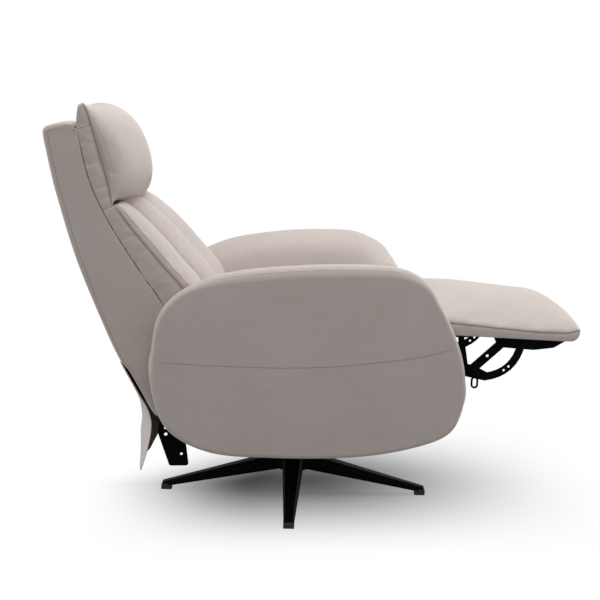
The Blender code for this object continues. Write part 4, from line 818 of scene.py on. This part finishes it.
# Back shell: a leather box open in front and below, sewn from a rear panel that wraps over the top
# and two side panels, pulled over the steel back frame.
SHELL_HALF = 0.256
SHELL_WALL = 0.012
SHELL_EDGE = 0.009
SHELL_WRAP = (
    (-0.3540, 0.2535), (-0.3690, 0.2732), (-0.3872, 0.3072), (-0.4060, 0.3411), (-0.4222, 0.3690),
    (-0.4290, 0.3765), (-0.4425, 0.3935), (-0.4750, 0.4630), (-0.5440, 0.6340), (-0.5940, 0.8020),
    (-0.6140, 0.8800), (-0.6195, 0.9045), (-0.6190, 0.9130), (-0.6145, 0.9190), (-0.6060, 0.9222),
    (-0.5900, 0.9258), (-0.5720, 0.9282), (-0.5600, 0.9276), (-0.5510, 0.9235), (-0.5450, 0.9165),
)
SHELL_CREASE = (
    (-0.262, 0.370), (-0.290, 0.440), (-0.345, 0.534), (-0.397, 0.609), (-0.466, 0.718), (-0.514, 0.819),
    (-0.541, 0.914),
)
SHELL_CORNER = (0.885, 0.92)
SHELL_EDGE_FADE = 0.05
SHELL_STEP = 0.004
SHELL_SEAM_IN = (0.0035, 0.0115)
SHELL_SEAM_FROM = (0.1, 0.5)
SHELL_SEAM_END = 0.985
SHELL_SEAM_POINTS = 420
LEAN_RISE = 0.022
LEAN_FROM = 0.800
LEAN_FULL = 0.925


def boxed(name, across, along, deep, place, finish, leave_out=()):
    """A cover cut like a box: points on its six panels, set in place by a function of their shares."""
    shares = (across, along, deep)
    index, where, faces = {}, [], []
    for axis in range(3):
        b, c = (k for k in range(3) if k != axis)
        for end in (0, len(shares[axis]) - 1):
            if (axis, end > 0) in leave_out:
                continue
            for p in range(len(shares[b]) - 1):
                for q in range(len(shares[c]) - 1):
                    face = []
                    for step_p, step_q in ((0, 0), (1, 0), (1, 1), (0, 1)):
                        key = [end, end, end]
                        key[b] = p + step_p
                        key[c] = q + step_q
                        key = tuple(key)
                        if key not in index:
                            index[key] = len(where)
                            where.append([shares[k][key[k]] for k in range(3)])
                        face.append(index[key])
                    faces.append(face)
    where = np.array(where)
    return new_piece(name, in_frame(place(*where.T)), faces, finish), where


def shell_wrap(v):
    """The line that the rear panel follows up the back and over the top, and its inward direction."""
    after = smooth_line(SHELL_WRAP, np.clip(v + SHELL_STEP, 0, 1))
    ahead = after - smooth_line(SHELL_WRAP, np.clip(v - SHELL_STEP, 0, 1))
    ahead /= np.linalg.norm(ahead, axis=1)[:, None]
    return smooth_line(SHELL_WRAP, v), np.stack([ahead[:, 1], -ahead[:, 0]], axis=1)


def leaned(points):
    """The head of the back leans in its frame, so that its right corner stands higher than its left."""
    share = np.clip((points[:, 2] - LEAN_FROM) / (LEAN_FULL - LEAN_FROM), 0, 1)
    lift = LEAN_RISE * share * (1 - points[:, 1] / SHELL_HALF) / 2
    return points + np.stack([0 * lift, 0 * lift, lift], axis=1)


def shell_place(u, v, w):
    wrap, inward = shell_wrap(v)
    crease = smooth_line(SHELL_CREASE, np.interp(v, (0, SHELL_CORNER[0], 1), (0, SHELL_CORNER[1], 1)))
    fall = edge_inset(SHELL_HALF * (1 - np.abs(u)), SHELL_EDGE) * np.clip((1 - v) / SHELL_EDGE_FADE, 0, 1)
    flat = (wrap + inward * fall[:, None]) * (1 - w)[:, None] + crease * w[:, None]
    return leaned(np.stack([flat[:, 0], SHELL_HALF * u, flat[:, 1]], axis=1))


edge_columns = 1 - (1 - np.cos(np.linspace(0, math.pi / 2, 7))) * SHELL_EDGE / SHELL_HALF
shell_across = np.concatenate([-edge_columns, np.linspace(-0.93, 0.93, 29), edge_columns[::-1]])
shell_along = np.concatenate([np.linspace(0, 0.86, 50), np.linspace(0.87, 1, 30)])
shell, _ = boxed(
    "back_shell_leather", shell_across, shell_along, np.linspace(0, 1, 15), shell_place, leather,
    leave_out=((1, False), (1, True), (2, True)),
)
thickness = shell.modifiers.new("wall", "SOLIDIFY")
thickness.thickness = SHELL_WALL
thickness.offset = -1
run = np.linspace(0.0, SHELL_SEAM_END, SHELL_SEAM_POINTS)
wrap, inward = shell_wrap(run)
side_run = wrap + inward * np.interp(run, SHELL_SEAM_FROM, SHELL_SEAM_IN)[:, None]
crease_run = smooth_line(SHELL_CREASE, count=SHELL_SEAM_POINTS)
smoothed(shell)
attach(shell, "backrest")
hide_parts("back_shell")
for side, word in ((-1, "right"), (1, "left")):
    seam = in_frame(leaned(np.insert(side_run, 1, side * SHELL_HALF, axis=1)))
    crease = in_frame(leaned(np.insert(crease_run, 1, side * SHELL_HALF, axis=1)))
    # Painted shade: a dark line along each side seam, and a broader one down the crease where the shell
    # meets the back cushion.
    for cord in (
        seam_shade_line(f"shell_seam_shade_{word}", shell, seam, radius=0.0008, sink=0.5, finish=shallow_seam_shade),
        seam_shade_line(f"shell_crease_shade_{word}", shell, crease, radius=0.0017, sink=0.2),
    ):
        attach(cord, "backrest")

# Seat cushion: a boxed leather cushion on the springs, crowned, with a rounded front edge. It fills
# the room between the arms, and its top panel is sewn to its four sides.
SEAT_REAR_X = -0.172
SEAT_FRONT_X = 0.325
SEAT_BOTTOM = 0.3944
SEAT_HALF = 0.252
SEAT_SIDE = 0.060
SEAT_CROWN = 0.034
SEAT_ROUND = 0.12
SEAT_LIFT = (0.006, 0.014)
SEAT_END_SIDE = 0.55
SEAT_END_CROWN = 0.35
SEAT_END_HALF = 0.965
SEAT_BULGE = (3.2, 0.75)
SEAT_EDGE_POINTS = 300
FILL_FRAMES = 20


def roll_off(share, run):
    """A quarter round from 0 at an end to 1 at a share of the length in from it."""
    end = np.clip(share / run, 0, 1)
    return np.sqrt(1 - (1 - end) ** 2)


def crown_across(u, bulge):
    """A crown from 0 at both sides to 1 in the middle, by the two powers of its bulge."""
    return (1 - np.abs(u) ** bulge[0]) ** bulge[1]


def line_on(place, u, v, w):
    """A line on a boxed cover, from its three shares. A single share holds for the whole line."""
    return in_frame(place(*np.broadcast_arrays(u, v, w)))


def held_at_seams(u, w, grip=1.0):
    """How firmly each point of a boxed cover is held, at its base and along its two side seams."""
    return np.where((w > 0.99) & (np.abs(u) > 0.999), grip, 0.0) + np.where(w < 0.01, 1.0, 0.0)


def at_ends(v):
    return (v > 0.999) | (v < 0.001)


def filled(made, held, pressure, cap, swell=0.003):
    """Fills a sewn cover with wadding: a short cloth simulation under pressure, held at its seams."""
    held = np.clip(held, 0, 1)
    scene = bpy.context.scene
    group = made.vertex_groups.new(name="held")
    for number, weight in enumerate(held):
        group.add([number], float(weight), "REPLACE")
    cloth = made.modifiers.new("filling", "CLOTH")
    kit = cloth.settings
    kit.quality = 5
    kit.mass = 0.25
    kit.tension_stiffness = kit.compression_stiffness = 18
    kit.shear_stiffness = 8
    kit.bending_stiffness = 4.0
    kit.vertex_group_mass = "held"
    kit.use_pressure = True
    kit.uniform_pressure_force = pressure
    kit.shrink_min = -swell
    kit.effector_weights.gravity = 0
    cloth.collision_settings.use_collision = False
    cloth.point_cache.frame_start = 1
    cloth.point_cache.frame_end = FILL_FRAMES
    before = points_of(made)
    for number in range(1, FILL_FRAMES + 1):
        scene.frame_set(number)
    ready = made.evaluated_get(bpy.context.evaluated_depsgraph_get())
    flat = np.zeros(len(before) * 3, np.float32)
    ready.data.vertices.foreach_get("co", flat)
    moved = flat.reshape(-1, 3) - before
    length = np.linalg.norm(moved, axis=1)
    moved *= np.minimum(1, cap / np.maximum(length, 1e-9))[:, None]
    made.modifiers.remove(cloth)
    made.vertex_groups.remove(group)
    scene.frame_set(1)
    set_points(made, before + moved)


def seat_place(u, v, w):
    fade = np.where(v < 0.5, roll_off(v, SEAT_ROUND), roll_off(1 - v, SEAT_ROUND))
    low = SEAT_BOTTOM + np.where(v < 0.5, *SEAT_LIFT) * (1 - fade)
    high = SEAT_SIDE * (SEAT_END_SIDE + (1 - SEAT_END_SIDE) * fade)
    high += SEAT_CROWN * (SEAT_END_CROWN + (1 - SEAT_END_CROWN) * fade) * crown_across(u, SEAT_BULGE)
    half = SEAT_HALF * (SEAT_END_HALF + (1 - SEAT_END_HALF) * fade)
    x = SEAT_REAR_X + (SEAT_FRONT_X - SEAT_REAR_X) * v
    return np.stack([x, half * u, low + high * w], axis=1)


def spread(count, power=0.75):
    """Shares from -1 to 1, closer together towards both ends."""
    t = np.linspace(-1, 1, count)
    return (1 - power) * t + power * np.sin(t * math.pi / 2)


seat, shares = boxed(
    "seat_leather", spread(61), (spread(57) + 1) / 2, np.linspace(0, 1, 11), seat_place, leather
)
u, v, w = shares.T
filled(seat, held_at_seams(u, w, grip=0.9), pressure=3.0, cap=0.012)
edge = spread(SEAT_EDGE_POINTS)
seat_seams = [line_on(seat_place, side, (edge + 1) / 2, 1.0) for side in (-1.0, 1.0)]
seat_seams += [line_on(seat_place, edge, end, 1.0) for end in (0.0, 1.0)]
pressed(seat, seat_seams, depth=0.0015, width=0.005)
smoothed(seat)
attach(seat, "chassis")
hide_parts("seat_cushion")
# Painted shade: a dark line along each seam.
for number, line in enumerate(seat_seams):
    cord = seam_shade_line(f"seat_seam_shade_{number + 1}", seat, line, radius=0.0008)
    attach(cord, "chassis")

# Back cushion: a long leather cushion sewn to the shell along the crease, with five padded panels
# between sewn channels and a twin row of stitches where the front meets the sides.
BACK_HALF = 0.2545
BACK_FOOT_Z = 0.440
BACK_HEAD_Z = 0.748
BACK_RISE = math.radians(20.5)
BACK_CROWN = 0.103
BACK_BULGE = (1.25, 0.53)
BACK_FOOT_ROUND = 0.30
BACK_FOOT_CROWN = 0.30
BACK_FOOT_GUSSET = 0.6
BACK_HEAD_ROUND = 0.42
BACK_HEAD_CROWN = 0.45
BACK_GUSSET = 0.060
BACK_GUSSET_LOSS = 0.030
BACK_GUSSET_FROM = 0.35
BACK_OUTER_PANEL = 0.090
BACK_SEAM_POINTS = 260
BACK_TWIN_AT = 0.978
BACK_FRONT_STITCH = 0.987
BACK_SIDE_STITCH = 0.93
CHANNELS = (-0.168, -0.070, 0.070, 0.168)
CHANNEL_DEPTH = 0.020
CHANNEL_POWER = 2.2
CHANNEL_COLUMNS = (-0.012, -0.007, -0.0035, 0, 0.0035, 0.007, 0.012)
CHANNEL_CLEAR = 0.018
CHANNEL_GRIP = 0.004
TUCKED = 0.010


def crease_at(z):
    line = smooth_line(SHELL_CREASE, count=200)
    return np.interp(z, line[:, 1], line[:, 0])


def back_place(u, v, w):
    z = BACK_FOOT_Z + (BACK_HEAD_Z - BACK_FOOT_Z) * v
    fade = roll_off(v, BACK_FOOT_ROUND)
    narrowing = np.clip((v - BACK_GUSSET_FROM) / (1 - BACK_GUSSET_FROM), 0, 1)
    gusset = BACK_GUSSET - BACK_GUSSET_LOSS * narrowing
    gusset *= BACK_FOOT_GUSSET + (1 - BACK_FOOT_GUSSET) * fade
    crown = BACK_CROWN * (BACK_FOOT_CROWN + (1 - BACK_FOOT_CROWN) * fade)
    crown *= BACK_HEAD_CROWN + (1 - BACK_HEAD_CROWN) * roll_off(1 - v, BACK_HEAD_ROUND)
    edges = np.array((-BACK_HALF - BACK_OUTER_PANEL, *CHANNELS, BACK_HALF + BACK_OUTER_PANEL))
    panel = np.interp(u * BACK_HALF, edges, np.arange(len(edges))) % 1
    groove = CHANNEL_DEPTH * fade * np.abs(2 * panel - 1) ** CHANNEL_POWER
    bulge = crown * crown_across(u, BACK_BULGE) - groove
    depth = (TUCKED + gusset + np.maximum(bulge, 0)) * w - TUCKED
    return np.stack([
        crease_at(z) + math.cos(BACK_RISE) * depth, BACK_HALF * u, z + math.sin(BACK_RISE) * depth,
    ], axis=1)


channel_columns = np.add.outer(CHANNELS, CHANNEL_COLUMNS).ravel() / BACK_HALF
columns = [t for t in spread(57) if np.abs(channel_columns - t).min() > CHANNEL_CLEAR]
back_across = np.sort(np.concatenate([columns, channel_columns]))
back, shares = boxed(
    "back_leather", back_across, np.linspace(0, 1, 57), np.linspace(0, 1, 11), back_place, leather
)
u, v, w = shares.T
held = held_at_seams(u, w) + at_ends(v)
for channel in CHANNELS:
    held += np.exp(-(((u * BACK_HALF - channel) / CHANNEL_GRIP) ** 2)) * (w > 0.99)
filled(back, held, pressure=2.5, cap=0.010)
run = np.linspace(0.0, 1.0, BACK_SEAM_POINTS)
back_channels = [line_on(back_place, y / BACK_HALF, run, 1.0) for y in CHANNELS]
back_seams = [line_on(back_place, side, run, 1.0) for side in (-1.0, 1.0)]
# Painted shade: darkening along the channels, and more along the side seams.
pressed(back, back_channels, depth=0.0022, width=0.005, dark=0.35)
pressed(back, back_seams, depth=0.0012, width=0.005, dark=0.5)
smoothed(back)
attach(back, "backrest")
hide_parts("back_cushion")
trims = []
# Painted shade: a dark line along each seam and each twin seam.
for line, word in zip(back_seams, ("right", "left")):
    trims.append(seam_shade_line(f"back_seam_shade_{word}", back, line, radius=0.0009))
stitch_lines = []
for side, word in ((-1.0, "right"), (1.0, "left")):
    twin = line_on(back_place, side * BACK_TWIN_AT, run, 1.0)
    trims.append(seam_shade_line(f"back_twin_seam_shade_{word}", back, twin, radius=0.0007))
    stitch_lines.append(line_on(back_place, side * BACK_FRONT_STITCH, run, 1.0))
    stitch_lines.append(line_on(back_place, side, run, BACK_SIDE_STITCH))
trims.append(stitch_row("back_stitching", back, stitch_lines, radius=0.0007))
for trim in trims:
    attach(trim, "backrest")

# Headrest: a full pillow at the head of the back. One panel wraps from its underside over the front
# to the top, and is sewn and top-stitched to a narrow side gusset.
HEAD_HALF = 0.2540
HEAD_REAR = (
    (-0.4900, 0.7455), (-0.5010, 0.7730), (-0.5210, 0.8220), (-0.5350, 0.8750), (-0.5425, 0.9150),
    (-0.5425, 0.9400), (-0.5385, 0.9645),
)
HEAD_SEAM = (
    (-0.4570, 0.7555), (-0.4660, 0.7900), (-0.4785, 0.8380), (-0.4940, 0.8880), (-0.5085, 0.9280),
    (-0.5190, 0.9560), (-0.5275, 0.9710),
)
HEAD_FRONT = (
    (-0.4720, 0.7570), (-0.4350, 0.7575), (-0.4000, 0.7630), (-0.3780, 0.7760), (-0.3670, 0.8000),
    (-0.3640, 0.8300), (-0.3690, 0.8650), (-0.3820, 0.9030), (-0.4020, 0.9370), (-0.4290, 0.9630),
    (-0.4620, 0.9790), (-0.4940, 0.9830), (-0.5180, 0.9790), (-0.5310, 0.9690),
)
HEAD_ROUND = (1.8, 3.2)
HEAD_FULL = (0.62, 0.56)
HEAD_WAIST_FROM = 0.04
HEAD_WAIST_RUN = 0.94
HEAD_WAIST_POWER = 0.6
HEAD_DRAW = 0.012
HEAD_EAR_LIFT = (0.026, 0.0)
HEAD_EAR_POWER = (1.6, 1.3)
HEAD_EAR_FROM = 0.5
HEAD_EAR_RUN = 0.45
HEAD_EAR_ROUND = 0.030
HEAD_EAR_DRAW = 0.55
HEAD_FOLDS = (((0.97, 0.02), (0.40, 0.30), 0.20), ((0.75, 0.01), (0.15, 0.17), 0.14))
HEAD_FOLD_WIDTH = 0.015
HEAD_WRAP_LENGTH = 0.40
HEAD_SEAM_POINTS = 300
HEAD_CROSS_SEAM = 0.80
HEAD_CROSS_RUN = np.linspace(0.1, 0.97, 40)
HEAD_FRONT_STITCH = 0.984
HEAD_SIDE_STITCH = 0.90


def head_place(u, v, w):
    rear = smooth_line(HEAD_REAR, v)
    seam = smooth_line(HEAD_SEAM, v)
    front = smooth_line(HEAD_FRONT, v)
    waist = np.sin(math.pi * np.clip((v - HEAD_WAIST_FROM) / HEAD_WAIST_RUN, 0, 1)) ** HEAD_WAIST_POWER
    blunt = HEAD_ROUND[0] + (HEAD_ROUND[1] - HEAD_ROUND[0]) * waist
    plump = HEAD_FULL[0] + (HEAD_FULL[1] - HEAD_FULL[0]) * waist
    full = crown_across(u, (blunt, plump))
    for start_at, end_at, deep in HEAD_FOLDS:
        away = np.array((np.abs(u), v)).T - start_at
        run = np.subtract(end_at, start_at)
        along = np.clip(away @ run / (run @ run), 0, 1)
        apart = np.hypot(*((away - along[:, None] * run) * (HEAD_HALF, HEAD_WRAP_LENGTH)).T)
        full = full * (1 - deep * (1 - along) ** 0.5 * np.exp(-(apart / HEAD_FOLD_WIDTH) ** 2))
    face = seam + (front - seam) * full[:, None]
    flat = rear + (face - rear) * w[:, None]
    wide = HEAD_HALF * u * (1 - HEAD_DRAW * np.sin(math.pi * v) * w)
    wide *= 1 - HEAD_EAR_DRAW * edge_inset(1 - v, HEAD_EAR_ROUND)
    ear = np.where(u < 0, *HEAD_EAR_LIFT) * np.abs(u) ** HEAD_EAR_POWER[0]
    ear *= np.clip((v - HEAD_EAR_FROM) / HEAD_EAR_RUN, 0, 1) ** HEAD_EAR_POWER[1]
    return np.stack([flat[:, 0], wide, flat[:, 1] + ear], axis=1)


head, shares = boxed(
    "headrest_leather", spread(61), np.linspace(0, 1, 67), np.linspace(0, 1, 8), head_place, leather
)
u, v, w = shares.T
filled(head, held_at_seams(u, w) + at_ends(v), pressure=2.0, cap=0.007, swell=0.004)
run = np.linspace(0.0, 1.0, HEAD_SEAM_POINTS)
head_seams = [line_on(head_place, side, run, 1.0) for side in (-1.0, 1.0)]
pressed(head, head_seams, depth=0.0014, width=0.005, dark=0.5)
smoothed(head)
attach(head, "backrest")
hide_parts("headrest_cushion")
trims = []
# Painted shade: dark lines along each seam and each cross seam.
for line, side, word in zip(head_seams, (-1.0, 1.0), ("right", "left")):
    across = line_on(head_place, side, HEAD_CROSS_SEAM, HEAD_CROSS_RUN)
    trims.append(seam_shade_line(f"headrest_seam_shade_{word}", head, line, radius=0.0008))
    trims.append(seam_shade_line(f"headrest_cross_seam_shade_{word}", head, across, radius=0.0006, sink=0.5))
stitch_lines = [line_on(head_place, side * HEAD_FRONT_STITCH, run, 1.0) for side in (-1.0, 1.0)]
stitch_lines += [line_on(head_place, side, run, HEAD_SIDE_STITCH) for side in (-1.0, 1.0)]
trims.append(stitch_row("headrest_stitching", head, stitch_lines, radius=0.0006))
for trim in trims:
    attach(trim, "backrest")

# Footrest pad: leather over foam on the footrest board, crowned, with a plain band sewn round its
# edge. At the rear its upper edge laps over the gap to the seat.
FOOT_TILT = math.radians(3.2)
FOOT_REAR = np.array((0.345, 0.4510))
FOOT_RUN = (-0.012, 0.325)
FOOT_HALF = 0.250
FOOT_BAND_AT = (0, 0.15, 0.4, 0.7, 0.9, 1)
FOOT_BAND = (0.0305, 0.0282, 0.0235, 0.0188, 0.0205, 0.0295)
FOOT_CROWN = 0.0585
FOOT_BULGE = (2.5, 0.60)
FOOT_REAR_ROUND = 0.02
FOOT_FRONT_ROUND = 0.22
FOOT_UNDER_ROUND = 0.07
FOOT_LIFT = (0.004, 0.0265)
FOOT_END_CROWN = 0.12
FOOT_END_HALF = 0.97
FOOT_LIP = (0.026, 0.14)
FOOT_SEAM_POINTS = 300
foot_ahead = np.array((math.cos(FOOT_TILT), -math.sin(FOOT_TILT)))
foot_up = np.array((math.sin(FOOT_TILT), math.cos(FOOT_TILT)))


def foot_place(u, v, w):
    rear = roll_off(v, FOOT_REAR_ROUND)
    fade = np.minimum(rear, roll_off(1 - v, FOOT_FRONT_ROUND))
    low = np.where(v < 0.5, *FOOT_LIFT) * (1 - np.minimum(rear, roll_off(1 - v, FOOT_UNDER_ROUND)))
    crown = FOOT_CROWN * (FOOT_END_CROWN + (1 - FOOT_END_CROWN) * fade)
    high = np.interp(v, FOOT_BAND_AT, FOOT_BAND) + crown * crown_across(u, FOOT_BULGE)
    half = FOOT_HALF * (FOOT_END_HALF + (1 - FOOT_END_HALF) * fade)
    run = FOOT_RUN[0] + (FOOT_RUN[1] - FOOT_RUN[0]) * v
    run -= FOOT_LIP[0] * w * np.clip(1 - v / FOOT_LIP[1], 0, 1)
    flat = FOOT_REAR + run[:, None] * foot_ahead + (low + (high - low) * w)[:, None] * foot_up
    return np.stack([flat[:, 0], half * u, flat[:, 1]], axis=1)


pad, shares = boxed(
    "footrest_leather", spread(61), (spread(49) + 1) / 2, np.linspace(0, 1, 7), foot_place, leather
)
u, v, w = shares.T
filled(pad, held_at_seams(u, w) + ((w > 0.99) & at_ends(v)), pressure=2.5, cap=0.008)
edge = spread(FOOT_SEAM_POINTS)
pad_seams = [line_on(foot_place, side, (edge + 1) / 2, 1.0) for side in (-1.0, 1.0)]
pad_seams.append(line_on(foot_place, edge, 1.0, 1.0))
pressed(pad, pad_seams, depth=0.0014, width=0.005, dark=0.6)
smoothed(pad)
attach(pad, "footrest")
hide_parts("footrest_pad")
# Painted shade: a dark line along each seam.
for line, word in zip(pad_seams, ("right", "left", "front")):
    cord = seam_shade_line(f"footrest_seam_shade_{word}", pad, line, radius=0.0008)
    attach(cord, "footrest")

# Rear flap: a single lined sheet of leather sewn across the back of the shell. It lies on the shell,
# then hangs free behind the levers, its right side bellied backward and its left side forward.
FLAP_HALF = 0.240
FLAP_THICKNESS = 0.0034
FLAP_LINE = (
    (-0.4405, 0.3860), (-0.4290, 0.3650), (-0.4130, 0.3360), (-0.3945, 0.3030), (-0.3775, 0.2735),
    (-0.3700, 0.2520), (-0.3673, 0.2320), (-0.3705, 0.2010), (-0.3795, 0.1630), (-0.3925, 0.1210),
)
FLAP_BELLY = ((0.0, 0.10, 0.32, 0.53, 0.72, 0.86, 1.0), (0.0, 0.005, 0.008, 0.019, 0.022, 0.015, 0.007))
FLAP_BELLY_WIDE = 0.9
FLAP_BELLY_POWER = 0.8
FLAP_SWING = ((0.0, 0.55, 0.72, 0.86, 1.0), (0.0, 0.0, 0.016, 0.042, 0.066))
FLAP_SWING_POWER = 1.2
FLAP_COLUMNS = 45
FLAP_ROWS = 40
# Painted light: the flap's leather is painted far paler than the chair's, to stand for the strong light on
# the flap.
FLAP_LIT_COLOUR = (0.740, 0.675, 0.640, 1.0)
FLAP_LIT_DEEP = (0.690, 0.625, 0.590, 1.0)
LINING_COLOUR = (0.030, 0.020, 0.015, 1.0)
LINING_PALE = (0.050, 0.034, 0.026, 1.0)

lining, shader, place = blank_finish("brown flap lining")
threads = {"Vector": place, "Scale": 420.0, "Distortion": 1.0}
weave = place.node("ShaderNodeTexWave", {"wave_type": "BANDS"}, threads)
cloud = place.noise(scale=30.0, detail=3.0)
feed(shader, "Base Color", cloud.mixed(LINING_COLOUR, LINING_PALE))
feed(shader, "Roughness", 0.75 + cloud * 0.15)
feed(shader, "Normal", weave.bumped(strength=0.3, distance=0.0003))

flap_columns = np.linspace(-1, 1, FLAP_COLUMNS)
flap_rows = np.linspace(0, 1, FLAP_ROWS)
points, faces = [], []
for share, (x, z) in zip(flap_rows, smooth_line(FLAP_LINE, flap_rows)):
    belly = np.interp(share, *FLAP_BELLY)
    swing = np.interp(share, *FLAP_SWING)
    for t in flap_columns:
        behind = belly * math.sin(math.pi * min((t + 1) / FLAP_BELLY_WIDE, 1.0)) ** FLAP_BELLY_POWER
        ahead = swing * ((t + 1) / 2) ** FLAP_SWING_POWER
        points.append((x - behind + ahead, FLAP_HALF * t, z))
for i in range(FLAP_ROWS - 1):
    for k in range(FLAP_COLUMNS - 1):
        a = i * FLAP_COLUMNS + k
        faces.append((a, a + 1, a + FLAP_COLUMNS + 1, a + FLAP_COLUMNS))
# Painted light: the chair's leather finish in the paler colours above.
flap_leather = leather_finish("flap leather painted light", FLAP_LIT_COLOUR, FLAP_LIT_DEEP)
flap = new_piece("rear_flap_leather", in_frame(points), faces, flap_leather)
flap.data.materials.append(lining)
if sum(face.normal.x for face in flap.data.polygons) > 0:
    flap.data.flip_normals()
lined = flap.modifiers.new("lining", "SOLIDIFY")
lined.thickness = FLAP_THICKNESS
lined.offset = 0
lined.material_offset = 1
smoothed(flap)
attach(flap, "backrest")
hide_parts("rear_flap")
